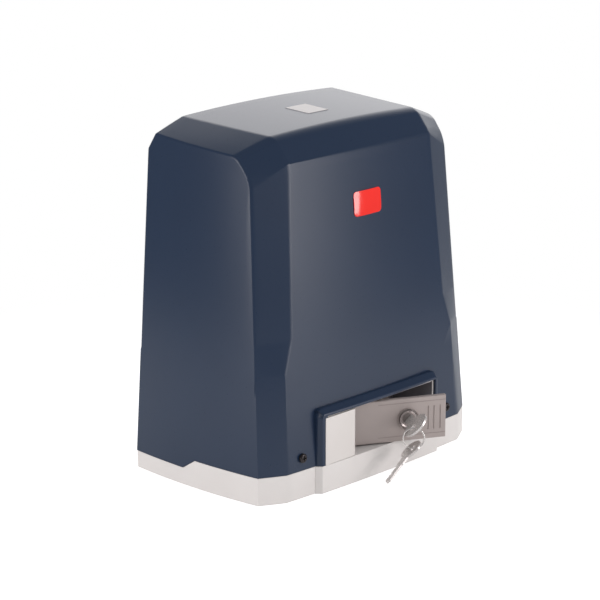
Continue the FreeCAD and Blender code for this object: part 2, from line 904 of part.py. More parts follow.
def make_lever():
    """Face plate with a hub for its pin and a cam whose radius grows evenly with the turn."""
    plate = box(
        lever_left_x, lever_right_x, lever_front_y, lever_front_y + lever_thickness, lever_bottom, lever_top
    )
    front_edges = [e for e in plate.Edges if abs(e.CenterOfMass.y - lever_front_y) < 0.01]
    plate = plate.makeFillet(lever_edge_radius, front_edges)
    hub = rod_z_axis(lever_pivot_x, lever_pivot_y, hub_radius, lever_bottom, lever_top)
    web = box(
        lever_pivot_x - hub_radius, lever_pivot_x + hub_radius, lever_front_y + lever_thickness / 2,
        lever_pivot_y, lever_bottom, lever_top,
    )
    sweep = lever_full_angle + 2 * cam_overrun
    rim = []
    for i in range(cam_steps + 1):
        turn = sweep * i / cam_steps - cam_overrun
        radius = cam_start_radius + clutch_travel * turn / lever_full_angle
        angle = math.radians(90 + turn)
        rim.append(point(
            lever_pivot_x + radius * math.cos(angle), lever_pivot_y + radius * math.sin(angle), lever_bottom
        ))
    centre = point(lever_pivot_x, lever_pivot_y, lever_bottom)
    curve = Part.BSplineCurve()
    curve.interpolate(rim)
    outline = Part.Wire([curve.toShape(), Part.makeLine(rim[-1], centre), Part.makeLine(centre, rim[0])])
    cam = Part.Face(outline).extrude(point(0, 0, cam_height))
    lever = fuse([plate, hub, web, cam])
    lever = lever.cut(rod_z_axis(lever_pivot_x, lever_pivot_y, pin_radius + pin_clearance, 0, 2 * lever_top))
    lever = lever.cut(rod_y(lock_x, lock_z, lock_body_radius, 2 * lever_front_y, lever_pivot_y / 2))
    for x in groove_positions:
        lever = lever.cut(box(
            x - groove_width / 2, x + groove_width / 2, 2 * lever_front_y, lever_front_y + groove_depth,
            groove_bottom, groove_top,
        ))
    return lever


def make_lock_body():
    back = lever_front_y + lock_body_length
    collar = rod_y(lock_x, lock_z, collar_radius, lever_front_y - collar_height, lever_front_y)
    rim = [e for e in collar.Edges if abs(e.CenterOfMass.y - (lever_front_y - collar_height)) < 0.01]
    collar = collar.makeFillet(collar_height / 3, rim)
    body = rod_y(lock_x, lock_z, lock_body_radius, lever_front_y, back)
    bore = rod_y(lock_x, lock_z, plug_radius + plug_clearance, lever_front_y - collar_height - 1, back + 1)
    return fuse([collar, body]).cut(bore)


def make_lock_nut():
    start = lever_front_y + lever_thickness
    nut = hexagon_y(lock_x, lock_z, lock_nut_flats, start, start + lock_nut_height)
    return nut.cut(rod_y(lock_x, lock_z, lock_body_radius, start - 1, start + lock_nut_height + 1))


def key_place(slide):
    """Where the key's own frame stands: X into the lock, Y across the bow."""
    turn = math.radians(key_turn)
    across = point(math.cos(turn), 0, math.sin(turn))
    rotation = FreeCAD.Rotation(Y, across, Y.cross(across), "XYZ")
    return FreeCAD.Placement(point(lock_x, slide, lock_z), rotation)


def plug_face_y():
    return lever_front_y - collar_height + plug_recess


def make_lock_cylinder():
    front = plug_face_y()
    back = lever_front_y + lock_body_length
    plug = rod_y(lock_x, lock_z, plug_radius, front, back)
    half = plug_tail_square / 2
    tail_end = back + plug_tail
    tail = box(lock_x - half, lock_x + half, back - plug_tail_sunk, tail_end, lock_z - half, lock_z + half)
    width = key_blade_width / 2 + key_slot_clearance
    thick = key_thickness / 2 + key_slot_clearance
    length = key_blade_length + key_slot_spare
    key_slot = Part.makeBox(length + 1, 2 * width, 2 * thick, point(-1, -width, -thick))
    key_slot.Placement = key_place(front)
    screw_hole = rod_y(lock_x, lock_z, tongue_screw_radius, tail_end - tongue_screw_depth, tail_end + 1)
    return fuse([plug, tail]).cut(key_slot).cut(screw_hole)


def make_lock_tongue():
    front = lock_tongue_front_y()
    end = lock_x + tongue_length
    plate = box(
        lock_x - tongue_width / 2, end, front, front + tongue_thickness,
        lock_z - tongue_width / 2, lock_z + tongue_width / 2,
    )
    half = plug_tail_square / 2
    rear = front + tongue_thickness
    return plate.cut(box(lock_x - half, lock_x + half, front - 1, rear + 1, lock_z - half, lock_z + half))


def make_tongue_screw():
    seat = lever_front_y + lock_body_length + plug_tail
    shank = rod_y(lock_x, lock_z, tongue_screw_radius, seat - tongue_screw_depth, seat)
    head = rod_y(lock_x, lock_z, tongue_screw_head, seat, seat + tongue_screw_head / 2)
    return fuse([shank, head])


def make_key_blank():
    """Flat key in its own frame: X from the bow to the tip, with the neck's shoulder at the origin."""
    bow_mid = key_bow_overlap - key_neck_length - key_bow_half_length
    half = key_thickness / 2
    bow = Part.Ellipse(point(0, 0, -half), key_bow_half_width, key_bow_half_length).toShape()
    bow = Part.Face(Part.Wire([bow])).extrude(point(0, 0, key_thickness))
    bow.rotate(point(0, 0), Z, 90)
    bow.translate(point(bow_mid, 0, 0))
    blade_half = key_blade_width / 2
    tip = key_blade_width / 3
    root = -key_neck_length - 2 * key_bow_overlap
    blade = prism(
        [
            point(root, -blade_half, -half),
            point(key_blade_length - tip, -blade_half, -half),
            point(key_blade_length, 0, -half),
            point(key_blade_length - tip, blade_half, -half),
            point(root, blade_half, -half),
        ],
        point(0, 0, key_thickness),
    )
    neck = box(root, 0, -blade_half - key_shoulder, blade_half + key_shoulder, -half, half)
    key = fuse([bow, blade, neck])
    for i, depth in enumerate(key_cut_depths):
        x = key_cut_start + key_cut_pitch * i
        cut = prism(
            [
                point(x - depth, blade_half + 0.1, -key_thickness),
                point(x, blade_half - depth, -key_thickness),
                point(x + depth, blade_half + 0.1, -key_thickness),
            ],
            point(0, 0, 2 * key_thickness),
        )
        key = key.cut(cut)
    hole = rod_z_axis(-key_hole_back, -key_hole_offset, key_hole_radius, -key_thickness, key_thickness)
    return key.cut(hole)


def make_key():
    key = make_key_blank()
    key.Placement = key_place(plug_face_y())
    return opened(key)


def key_hole_centre():
    hole = key_place(plug_face_y()).multVec(point(-key_hole_back, -key_hole_offset, 0))
    marker = Part.Vertex(hole)
    return opened(marker).Point


def make_key_ring():
    """Round wire ring hanging from the key, facing the front left."""
    top = key_hole_centre()
    turn = math.radians(ring_facing)
    centre = top - Z * ring_radius
    return Part.makeTorus(ring_radius, ring_wire, centre, point(math.sin(turn), math.cos(turn)))


def make_spare_key():
    """Second key on the ring, leaning with its tip on the ground."""
    key = make_key_blank()
    hole = key_hole_centre() - Z * (2 * ring_radius)
    along = point(-spare_lean_x, 0, -spare_lean_z).normalize()
    lifted = along.cross(Y)
    turn = math.radians(spare_roll)
    across = (Y * math.cos(turn) + lifted * math.sin(turn)).normalize()
    rotation = FreeCAD.Rotation(along, across, along.cross(across), "XYZ")
    offset = rotation.multVec(point(-key_hole_back, -key_hole_offset, 0))
    key.Placement = FreeCAD.Placement(hole - offset, rotation)
    return key


# ---- Release linkage and gear train ----

def make_push_rod():
    """Round nosed rod from the lever's cam to the shift fork."""
    body = rod_y(lever_pivot_x, rod_z, rod_radius, rod_front + rod_radius, rod_rear)
    nose = Part.makeSphere(rod_radius, point(lever_pivot_x, rod_front + rod_radius, rod_z))
    return fuse([body, nose])


def make_shift_fork():
    front = sleeve_front + fork_groove_start + (fork_groove_width - fork_thickness) / 2
    rear = front + fork_thickness
    opening = groove_radius + fork_clearance
    arms = box(-fork_half_width, fork_half_width, front, rear, rod_z + 2 * rod_radius, fork_prong_top)
    hub = rod_y(lever_pivot_x, rod_z, rod_radius + base_wall, front, rear)
    gap = rod_y(0, shaft_z, opening, front - 1, rear + 1)
    mouth = box(-opening, opening, front - 1, rear + 1, shaft_z, fork_prong_top + 1)
    fork = fuse([arms, hub]).cut(gap).cut(mouth)
    return fork.cut(rod_y(lever_pivot_x, rod_z, rod_radius, front - 1, rear + 1))


def dogs(start, end, first_angle):
    """Ring of driving teeth round the shaft."""
    width = 180 / dog_count - dog_side_gap
    teeth = []
    for i in range(dog_count):
        place = point(0, start, shaft_z)
        tooth = Part.makeCylinder(dog_outer_radius, end - start, place, Y, width)
        tooth = tooth.cut(Part.makeCylinder(dog_inner_radius, end - start, place, Y, 360))
        tooth.rotate(place, Y, first_angle + i * 360 / dog_count)
        teeth.append(tooth)
    return teeth


def feather(radius, start, side_gap):
    half = feather_width / 2 + side_gap
    bottom = shaft_z + radius - feather_sunk
    return box(-half, half, start, start + feather_length, bottom, bottom + feather_height + side_gap)


def clutch_key_start():
    return wheel_rear + dog_length


def make_clutch_sleeve():
    body = rod_y(0, shaft_z, sleeve_radius, sleeve_front, sleeve_rear)
    teeth = dogs(sleeve_front - dog_length, sleeve_front + dog_root, 180 / dog_count)
    groove_start = sleeve_front + fork_groove_start
    groove_end = groove_start + fork_groove_width
    groove = ring_y(0, shaft_z, sleeve_radius + 1, groove_radius, groove_start, groove_end)
    bore = rod_y(0, shaft_z, body_radius + running_clearance, sleeve_front - 1, sleeve_rear + 1)
    half = feather_width / 2 + feather_gap
    keyway_top = shaft_z + body_radius - feather_sunk + feather_height + feather_gap
    keyway = box(-half, half, sleeve_front - 1, sleeve_rear + 1, shaft_z, keyway_top)
    return fuse([body] + teeth).cut(groove).cut(bore).cut(keyway)


def coil_spring_y(start, end):
    """Round wire coil round the shaft between two faces."""
    length = end - start - spring_wire
    path = Part.makeHelix(length / spring_turns, length, spring_mean_radius)
    wire = []
    for i in range(spring_wire_sides + 1):
        angle = 2 * math.pi * (i % spring_wire_sides) / spring_wire_sides
        across = spring_mean_radius + spring_wire / 2 * math.cos(angle)
        wire.append(point(across, 0, spring_wire / 2 * math.sin(angle)))
    coil = Part.Wire(path).makePipeShell([Part.makePolygon(wire)], True, True)
    coil.rotate(point(0, 0), X, -90)
    coil.translate(point(0, start + spring_wire / 2, shaft_z))
    return coil


def make_output_shaft():
    pinion_key_start = pinion_start_y + (pinion_width - feather_length) / 2
    end = pinion_start_y + pinion_width - pinion_shaft_setback
    shaft = fuse([
        rod_y(0, shaft_z, journal_radius, front_bearing_front, front_bearing_rear),
        rod_y(0, shaft_z, body_radius, front_bearing_rear, cavity_rear),
        rod_y(0, shaft_z, shoulder_radius, cavity_rear, rear_bearing_front),
        rod_y(0, shaft_z, rear_journal_radius, rear_bearing_front, pinion_start_y),
        rod_y(0, shaft_z, pinion_seat_radius, pinion_start_y, end),
    ])
    ring_start = wheel_rear + 2 * running_clearance
    groove = ring_y(
        0, shaft_z, body_radius + 1, body_radius - circlip_groove, ring_start, ring_start + circlip_thickness
    )
    hole = rod_y(0, shaft_z, pinion_bolt_radius, end - pinion_bolt_length, end + 1)
    shaft = shaft.cut(groove).cut(hole)
    shaft = shaft.cut(feather(body_radius, clutch_key_start(), 0.0))
    return shaft.cut(feather(pinion_seat_radius, pinion_key_start, 0.0)), pinion_key_start


def involute(angle):
    return math.tan(angle) - angle


def gear_wire(module, teeth, share, backwards, level):
    """Closed involute outline round Z; share is the tooth's part of the pitch at the pitch circle."""
    pitch = module * teeth / 2
    base = pitch * math.cos(math.radians(pressure_angle))
    tip = pitch + module
    root = pitch - 1.25 * module

    def half_angle(radius):
        pressure = math.acos(min(1.0, base / radius))
        return share * math.pi / teeth + involute(math.radians(pressure_angle)) - involute(pressure)

    def spot(radius, angle):
        return point(radius * math.cos(angle), radius * math.sin(angle), level)

    flank_start = max(base, root)
    flank_middle = (flank_start + tip) / 2
    edges = []
    for i in range(teeth):
        centre = 2 * math.pi * i / teeth + backwards
        after = centre + 2 * math.pi / teeth
        for side in (-1, 1):
            low = spot(flank_start, centre + side * half_angle(flank_start))
            middle = spot(flank_middle, centre + side * half_angle(flank_middle))
            high = spot(tip, centre + side * half_angle(tip))
            foot = spot(root, centre + side * half_angle(flank_start))
            if side < 0:
                if flank_start > root + 0.01:
                    edges.append(Part.makeLine(foot, low))
                edges.append(Part.Arc(low, middle, high).toShape())
                crest = spot(tip, centre)
                edges.append(Part.Arc(high, crest, spot(tip, centre + half_angle(tip))).toShape())
            else:
                edges.append(Part.Arc(high, middle, low).toShape())
                if flank_start > root + 0.01:
                    edges.append(Part.makeLine(low, foot))
        gap_start = spot(root if flank_start > root + 0.01 else flank_start, centre + half_angle(flank_start))
        gap_end = spot(root if flank_start > root + 0.01 else flank_start, after - half_angle(flank_start))
        gap_middle = spot(root, centre + math.pi / teeth)
        edges.append(Part.Arc(gap_start, gap_middle, gap_end).toShape())
    return Part.Wire(edges)


def stand_on_y(shape, y):
    """Lays a gear drawn round Z along the output shaft, its first tooth pointing to +X."""
    shape.rotate(point(0, 0), X, -90)
    shape.translate(point(0, y, shaft_z))
    return shape


def make_worm_wheel():
    lead_slope = wheel_module / (2 * worm_pitch_radius)
    twist = wheel_rim_width * lead_slope / wheel_pitch_radius
    low = gear_wire(wheel_module, wheel_teeth, wheel_tooth_share, -twist / 2, 0)
    high = gear_wire(wheel_module, wheel_teeth, wheel_tooth_share, twist / 2, wheel_rim_width)
    rim = Part.makeLoft([low, high], True, True)
    rim = stand_on_y(rim, wheel_mid_y - wheel_rim_width / 2)
    hub = rod_y(0, shaft_z, dog_outer_radius, wheel_front, wheel_rear)
    wheel = fuse([rim, hub] + dogs(wheel_rear - dog_root, wheel_rear + dog_length, 0.0))
    web_depth = wheel_rim_width / 4
    web_outer = wheel_pitch_radius * wheel_web_share
    web_inner = dog_outer_radius + wheel_hub_wall
    for start in (wheel_mid_y - wheel_rim_width / 2, wheel_mid_y + wheel_rim_width / 2 - web_depth):
        wheel = wheel.cut(ring_y(0, shaft_z, web_outer, web_inner, start, start + web_depth))
    return wheel.cut(rod_y(0, shaft_z, body_radius + bush_wall, wheel_front - 1, wheel_rear + dog_length + 1))


def make_wheel_bush():
    inner = body_radius + running_clearance
    return ring_y(0, shaft_z, body_radius + bush_wall, inner, wheel_front + running_clearance, wheel_rear)


def make_circlip():
    start = wheel_rear + 2 * running_clearance
    outer = body_radius - circlip_groove + circlip_height
    clip = ring_y(0, shaft_z, outer, body_radius - circlip_groove, start, start + circlip_thickness)
    half = circlip_height / 2
    end = start + circlip_thickness
    mouth = box(-half, half, start - 1, end + 1, shaft_z - 2 * body_radius, shaft_z)
    return clip.cut(mouth)


def make_pinion():
    outline = gear_wire(pinion_module, pinion_teeth, pinion_tooth_share, 0.0, 0)
    gear = Part.Face(outline).extrude(point(0, 0, pinion_width))
    gear = stand_on_y(gear, pinion_start_y)
    bore = rod_y(0, shaft_z, pinion_seat_radius, pinion_start_y - 1, pinion_start_y + pinion_width + 1)
    keyway_top = shaft_z + pinion_seat_radius - feather_sunk + feather_height
    keyway = box(
        -feather_width / 2, feather_width / 2, pinion_start_y - 1, pinion_start_y + pinion_width + 1,
        shaft_z, keyway_top,
    )
    return gear.cut(bore).cut(keyway)


def make_pinion_fastening():
    seat = pinion_start_y + pinion_width
    washer = ring_y(
        0, shaft_z, pinion_washer_radius, pinion_bolt_radius, seat, seat + pinion_washer_thickness
    )
    outer = seat + pinion_washer_thickness
    head = hexagon_y(0, shaft_z, pinion_bolt_flats, outer, outer + pinion_bolt_head)
    shank = rod_y(0, shaft_z, pinion_bolt_radius, outer - pinion_bolt_length + pinion_bolt_end_gap, outer)
    return washer, fuse([head, shank])


# ---- Bearings ----

def bearing(sizes):
    """Outer ring, inner ring and balls of a ball bearing standing on the origin, along Z."""
    inner_radius, outer_radius, width = sizes
    ball = ball_share * (outer_radius - inner_radius)
    middle = (inner_radius + outer_radius) / 2
    race = Part.makeTorus(middle, ball + running_clearance, point(0, 0, width / 2), Z)
    outer = ring_z(0, 0, outer_radius, middle + ball / 2, 0, width).cut(race)
    inner = ring_z(0, 0, middle - ball / 2, inner_radius, 0, width).cut(race)
    count = int(2 * math.pi * middle / (ball_pitch * ball))
    balls = []
    for i in range(count):
        angle = 2 * math.pi * i / count
        place = point(middle * math.cos(angle), middle * math.sin(angle), width / 2)
        balls.append(Part.makeSphere(ball, place))
    return outer, inner, balls


def place_bearing(sizes, place, along_y):
    outer, inner, balls = bearing(sizes)
    pieces = [outer, inner] + balls
    for piece in pieces:
        if along_y:
            piece.rotate(point(0, 0), X, -90)
        piece.translate(place)
    return outer, inner, balls


# ---- Gearbox closures ----

def make_gearbox_cover():
    plate = box(
        gearbox_left_x, gearbox_right_x, cover_plate_front, cover_plate_rear, base_floor + 1, gearbox_top
    )
    ears = [rod_y(x, z, lug_radius, cover_plate_front, cover_plate_rear) for x, z in lug_places()]
    boss = rod_y(
        0, shaft_z, front_bearing[1] + bearing_boss_wall, cover_plate_rear, front_bearing_rear - 1
    )
    seat = rod_y(0, shaft_z, front_bearing[1], front_bearing_front, wheel_front)
    rod_bore = rod_y(
        lever_pivot_x, rod_z, rod_radius + pin_clearance, cover_plate_front - 1, cover_plate_rear + 1
    )
    cover = fuse([plate, boss] + ears).cut(seat).cut(rod_bore)
    for x, z in lug_places():
        cover = cover.cut(rod_y(x, z, screw_radius, cover_plate_front - 1, cover_plate_rear + 1))
    return cover


def make_gasket():
    plate = box(
        gearbox_left_x, gearbox_right_x, cover_plate_rear, gearbox_front_y, base_floor + 1, gearbox_top
    )
    ears = [rod_y(x, z, lug_radius, cover_plate_rear, gearbox_front_y) for x, z in lug_places()]
    window = box(
        gearbox_left_x + gearbox_wall, gearbox_right_x - gearbox_wall,
        cover_plate_rear - 1, gearbox_front_y + 1, cavity_bottom, cavity_top,
    )
    gasket = fuse([plate] + ears).cut(window)
    for x, z in lug_places():
        gasket = gasket.cut(rod_y(x, z, screw_radius, cover_plate_rear - 1, gearbox_front_y + 1))
    return gasket


def socket_screw():
    """Socket head screw along Z with its head's seat at the origin and its shank below."""
    head = rod_z_axis(0, 0, screw_head_radius, 0, screw_head_height)
    shank = rod_z_axis(0, 0, screw_radius, -screw_length, 0)
    socket_reach = screw_radius * 0.9
    corners = [
        point(socket_reach * math.cos(math.radians(60 * i)), socket_reach * math.sin(math.radians(60 * i)),
              screw_head_height / 2)
        for i in range(6)
    ]
    return fuse([head, shank]).cut(prism(corners, point(0, 0, screw_head_height)))


def make_m5_screws():
    screws = []
    for x, z in lug_places():
        screw = socket_screw()
        screw.rotate(point(0, 0), X, 90)
        screw.translate(point(x, cover_plate_front, z))
        screws.append(screw)
    for x, y in flange_screw_places():
        screw = socket_screw()
        screw.translate(point(x, y, flange_top))
        screws.append(screw)
    return screws


# ---- Motor ----

def make_worm_shaft():
    x = worm_x
    y = wheel_mid_y
    journal_end = worm_bearing_level + worm_bearing[2] + 1
    flange_end = flange_bearing_level + flange_bearing[2]
    shield_end = shield_bearing_level - 1
    root_radius = worm_pitch_radius - 1.25 * wheel_module
    core = fuse([
        rod_z_axis(x, y, worm_bearing[0], worm_bearing_level, journal_end),
        rod_z_axis(x, y, root_radius, journal_end, flange_end),
        rod_z_axis(x, y, rotor_shaft_radius, flange_end, shield_end),
        rod_z_axis(x, y, shield_bearing[0], shield_end, shield_bearing_level + shield_bearing[2]),
    ])
    lead = math.pi * wheel_module
    turns = int(worm_length / lead)
    height = turns * lead
    start = shaft_z - height / 2
    half = worm_thread_share * lead / 2
    slope = math.tan(math.radians(pressure_angle))
    sunk = root_radius - thread_root_overlap
    tip = worm_pitch_radius + wheel_module
    low = half + slope * (worm_pitch_radius - sunk)
    high = half - slope * wheel_module
    root_corner = point(sunk, 0, -low)
    section = Part.makePolygon([
        root_corner, point(tip, 0, -high), point(tip, 0, high), point(sunk, 0, low), root_corner,
    ])
    thread = Part.Wire(Part.makeHelix(lead, height, worm_pitch_radius)).makePipeShell([section], True, True)
    thread.translate(point(x, y, start))
    return fuse([core, thread])


def make_motor_flange():
    x = motor_centre.x
    y = motor_centre.y
    plate = rod_z_axis(x, y, motor_radius, gearbox_top, flange_top)
    rim = ring_z(x, y, motor_radius, motor_radius - flange_rim_wall, flange_top, stator_bottom)
    spigot = rod_z_axis(x, y, flange_spigot_radius, gearbox_top - gearbox_wall, gearbox_top)
    ears = [rod_z_axis(a, b, flange_ear_radius, gearbox_top, flange_top) for a, b in flange_screw_places()]
    flange = fuse([plate, rim, spigot] + ears)
    flange = flange.cut(rod_z_axis(x, y, flange_bearing[1], flange_bearing_level, flange_top + 1))
    flange = flange.cut(rod_z_axis(x, y, flange_bearing[1] - flange_ledge, 0, flange_top))
    for a, b in flange_screw_places():
        flange = flange.cut(rod_z_axis(a, b, screw_radius, gearbox_top - 1, flange_top + 1))
    for a, b in tie_places():
        flange = flange.cut(rod_z_axis(a, b, tie_screw_radius, flange_top, stator_bottom + 1))
    return flange


def tie_places():
    places = []
    for i in range(4):
        angle = math.radians(45 + 90 * i)
        places.append((
            motor_centre.x + tie_screw_circle * math.cos(angle),
            motor_centre.y + tie_screw_circle * math.sin(angle),
        ))
    return places


def make_stator():
    x = motor_centre.x
    y = motor_centre.y
    stack = ring_z(x, y, motor_radius, stator_bore_radius, stator_bottom, stator_top)
    for a, b in tie_places():
        stack = stack.cut(rod_z_axis(a, b, tie_screw_radius, stator_bottom - 1, stator_top + 1))
    return stack


def make_windings():
    x = motor_centre.x
    y = motor_centre.y
    return [
        ring_z(x, y, winding_outer_radius, winding_inner_radius, start, start + winding_height)
        for start in (stator_bottom - winding_height, stator_top)
    ]


def make_end_shield():
    x = motor_centre.x
    y = motor_centre.y
    rim = ring_z(x, y, motor_radius, motor_radius - flange_rim_wall, stator_top, shield_top)
    plate = rod_z_axis(x, y, motor_radius, shield_top - shield_thickness, shield_top)
    hub = rod_z_axis(x, y, shield_bearing[1] + shield_bearing_wall, shield_bearing_level - 2, shield_top)
    shield = fuse([rim, plate, hub])
    seat_top = shield_bearing_level + shield_bearing[2]
    shield = shield.cut(rod_z_axis(x, y, shield_bearing[1], 0, seat_top))
    for a, b in tie_places():
        shield = shield.cut(rod_z_axis(a, b, tie_screw_radius, stator_top - 1, shield_top + 1))
    return shield


def make_tie_screws():
    screws = []
    for a, b in tie_places():
        shank = rod_z_axis(a, b, tie_screw_radius, shield_top - tie_screw_length, shield_top)
        head = rod_z_axis(a, b, tie_screw_head_radius, shield_top, shield_top + tie_screw_head_height)
        screws.append(fuse([shank, head]))
    return screws


# ---- Electrical pieces ----

def make_capacitor():
    can = rod_z_axis(capacitor_x, capacitor_y, capacitor_radius, gearbox_top, gearbox_top + capacitor_height)
    top = [e for e in can.Edges if abs(e.CenterOfMass.z - gearbox_top - capacitor_height) < 0.01]
    can = can.makeFillet(capacitor_edge, top)
    tabs = [
        box(
            capacitor_x + shift - tab_half_width, capacitor_x + shift + tab_half_width,
            capacitor_y - tab_half_thickness, capacitor_y + tab_half_thickness,
            gearbox_top + capacitor_height - 1, gearbox_top + capacitor_height + tab_height,
        )
        for shift in (-tab_offset, tab_offset)
    ]
    return fuse([can] + tabs)


def transformer_middle():
    return base_floor + transformer_height / 2


def make_transformer_core():
    half = transformer_width / 2
    front = transformer_y - transformer_depth / 2
    rear = transformer_y + transformer_depth / 2
    top = base_floor + transformer_height
    core = box(transformer_x - half, transformer_x + half, front, rear, base_floor, top)
    for sign in (-1, 1):
        near = sign * transformer_leg / 2
        far = sign * (half - transformer_side_leg)
        window = box(
            transformer_x + min(near, far), transformer_x + max(near, far), front - 1, rear + 1,
            base_floor + transformer_yoke, top - transformer_yoke,
        )
        core = core.cut(window)
    return core


def make_transformer_coil():
    out_x = transformer_width / 2 - transformer_side_leg - coil_gap
    out_y = transformer_depth / 2 + coil_overhang
    bottom = base_floor + transformer_yoke + coil_gap
    top = base_floor + transformer_height - transformer_yoke - coil_gap
    coil = box(
        transformer_x - out_x, transformer_x + out_x,
        transformer_y - out_y, transformer_y + out_y, bottom, top,
    )
    in_x = transformer_leg / 2
    in_y = transformer_depth / 2
    return coil.cut(box(
        transformer_x - in_x, transformer_x + in_x,
        transformer_y - in_y, transformer_y + in_y, bottom - 1, top + 1,
    ))


def board_rear():
    return board_front_y + board_thickness


def standoff_places():
    return [
        (x, z)
        for x in (board_left_x + standoff_inset, board_right_x - standoff_inset)
        for z in (board_bottom + standoff_inset, board_top - standoff_inset)
    ]


def make_board_carrier():
    """Moulded upright behind the board, with a foot on the gearbox and a post at each corner."""
    front = board_rear() + standoff_length
    upright = box(board_left_x, board_right_x, front, front + carrier_wall, gearbox_top, board_top)
    foot = box(
        gearbox_left_x + carrier_inset, board_right_x, front, front + carrier_foot_depth,
        gearbox_top, gearbox_top + carrier_wall,
    )
    posts = [rod_y(x, z, standoff_radius, board_rear(), front) for x, z in standoff_places()]
    carrier = fuse([upright, foot] + posts)
    carrier = carrier.cut(box(
        board_left_x - 1, gearbox_left_x + carrier_inset, front - 1, front + carrier_wall + 1,
        gearbox_top - 1, board_bottom - carrier_wall,
    ))
    for x, z in standoff_places():
        carrier = carrier.cut(rod_y(x, z, board_screw_radius, board_rear() - 1, front + carrier_wall + 1))
    return carrier


def make_control_board():
    board = box(board_left_x, board_right_x, board_front_y, board_rear(), board_bottom, board_top)
    for x, z in standoff_places():
        board = board.cut(rod_y(x, z, board_screw_radius, board_front_y - 1, board_rear() + 1))
    return board


def make_board_screws():
    screws = []
    for x, z in standoff_places():
        head = rod_y(x, z, board_screw_head, board_front_y - board_screw_height, board_front_y)
        shank = rod_y(x, z, board_screw_radius, board_front_y, board_front_y + board_screw_length)
        screws.append(fuse([head, shank]))
    return screws


def on_board(x, z, width, height, depth):
    """Box standing on the front of the board, given by its lower left corner."""
    return box(x, x + width, board_front_y - depth, board_front_y, z, z + height)


def make_terminal_blocks():
    blocks = []
    for i in range(3):
        left = board_left_x + 2 * standoff_inset + 2 + terminal_pitch * i
        block = on_board(left, board_bottom + 1, terminal_width, terminal_height, terminal_depth)
        front = board_front_y - terminal_depth
        for j in range(4):
            x = left + terminal_edge + terminal_screw_pitch * j
            level = board_bottom + 1 + terminal_height / 2
            block = block.cut(rod_y(x, level, terminal_screw_radius, front - 1, front + terminal_screw_depth))
        blocks.append(block)
    return blocks


def make_relays():
    right = board_right_x - 2 * standoff_inset
    return [
        on_board(right - relay_pitch * (i + 1), relay_bottom, relay_width, relay_height, relay_depth)
        for i in range(2)
    ]


def make_display():
    return on_board(display_left_x, display_bottom, display_width, display_height, display_depth)


def button_seat():
    return board_front_y - switch_height


def make_button_switches():
    """Bodies of the three push buttons, each with a well for its cap."""
    bodies = []
    half = switch_size / 2
    seat = button_seat()
    for x in button_positions:
        body = on_board(x - half, button_level - half, switch_size, switch_size, switch_height)
        well = rod_y(x, button_level, button_radius + switch_gap, seat - 1, seat + button_well())
        bodies.append(body.cut(well))
    return bodies


def button_well():
    return button_height / 3 + button_travel + switch_gap


def make_button(x):
    start = button_seat() + button_height / 3
    return rod_y(x, button_level, button_radius, start - button_height, start)


def make_limit_body():
    """Switch housing on a pedestal, open towards the gate for the wand."""
    low = limit_level - limit_body_height / 2
    high = limit_level + limit_body_height / 2
    body = box(-limit_half_width, limit_half_width, limit_front_y, limit_rear_y, low, high)
    stand = box(-limit_half_width, limit_half_width, limit_front_y, gearbox_rear_y - 1, gearbox_top, low)
    mouth_height = wand_hub_radius + limit_mouth_gap
    mouth = box(
        -limit_half_width + limit_wall, limit_half_width - limit_wall,
        limit_pivot_y - wand_hub_radius - 1, limit_rear_y + 1,
        limit_level - mouth_height, limit_level + mouth_height,
    )
    pin = rod_z_axis(0, limit_pivot_y, wand_radius / 2 + running_clearance, low - 1, high + 1)
    return fuse([body, stand]).cut(mouth).cut(pin)


def make_limit_wand():
    hub_half = wand_hub_radius + limit_mouth_gap - wand_hub_gap
    hub = rod_z_axis(0, limit_pivot_y, wand_hub_radius, limit_level - hub_half, limit_level + hub_half)
    low = limit_level - limit_body_height / 2
    high = limit_level + limit_body_height / 2
    pin = rod_z_axis(0, limit_pivot_y, wand_radius / 2, low, high)
    arm = rod_y(0, limit_level, wand_radius, limit_pivot_y, wand_reach_y - wand_radius)
    end = Part.makeSphere(wand_radius, point(0, wand_reach_y - wand_radius, limit_level))
    return fuse([hub, pin, arm, end])


# ---- Writing the pieces ----
save("cover", make_cover())
save("cover_screws", make_cover_screws())
save("cover_badge", make_badge())
save("top_label", make_label())
save("base_housing", make_base())
save("cable_grommet", make_grommet())
save("release_housing", make_release_housing())
save("release_lever", opened(make_lever()))
save("lever_pivot_pin", rod_z_axis(lever_pivot_x, lever_pivot_y, pin_radius, base_floor, recess_ceiling))
save("lock_body", opened(make_lock_body()))
save("lock_nut", opened(make_lock_nut()))
save("lock_cylinder", opened(make_lock_cylinder()))
save("lock_tongue", opened(make_lock_tongue()))
save("tongue_screw", opened(make_tongue_screw()))
save("key", make_key())
save("key_ring", make_key_ring())
save("spare_key", make_spare_key())
save("push_rod", make_push_rod())
save("shift_fork", make_shift_fork())
save("clutch_sleeve", make_clutch_sleeve())
save("clutch_spring", coil_spring_y(sleeve_rear, cavity_rear))
output_shaft, pinion_key_start = make_output_shaft()
save("output_shaft", output_shaft)
save("shaft_keys", [
    feather(body_radius, clutch_key_start(), 0.0),
    feather(pinion_seat_radius, pinion_key_start, 0.0),
])
save("worm_wheel", make_worm_wheel())
save("wheel_bush", make_wheel_bush())
save("wheel_circlip", make_circlip())
save("pinion", make_pinion())
pinion_washer, pinion_bolt = make_pinion_fastening()
save("pinion_washer", pinion_washer)
save("pinion_bolt", pinion_bolt)
front_set = place_bearing(front_bearing, point(0, front_bearing_front, shaft_z), True)
rear_set = place_bearing(rear_bearing, point(0, rear_bearing_front, shaft_z), True)
worm_set = place_bearing(worm_bearing, point(worm_x, wheel_mid_y, worm_bearing_level), False)
flange_set = place_bearing(flange_bearing, point(worm_x, wheel_mid_y, flange_bearing_level), False)
shield_set = place_bearing(shield_bearing, point(worm_x, wheel_mid_y, shield_bearing_level), False)
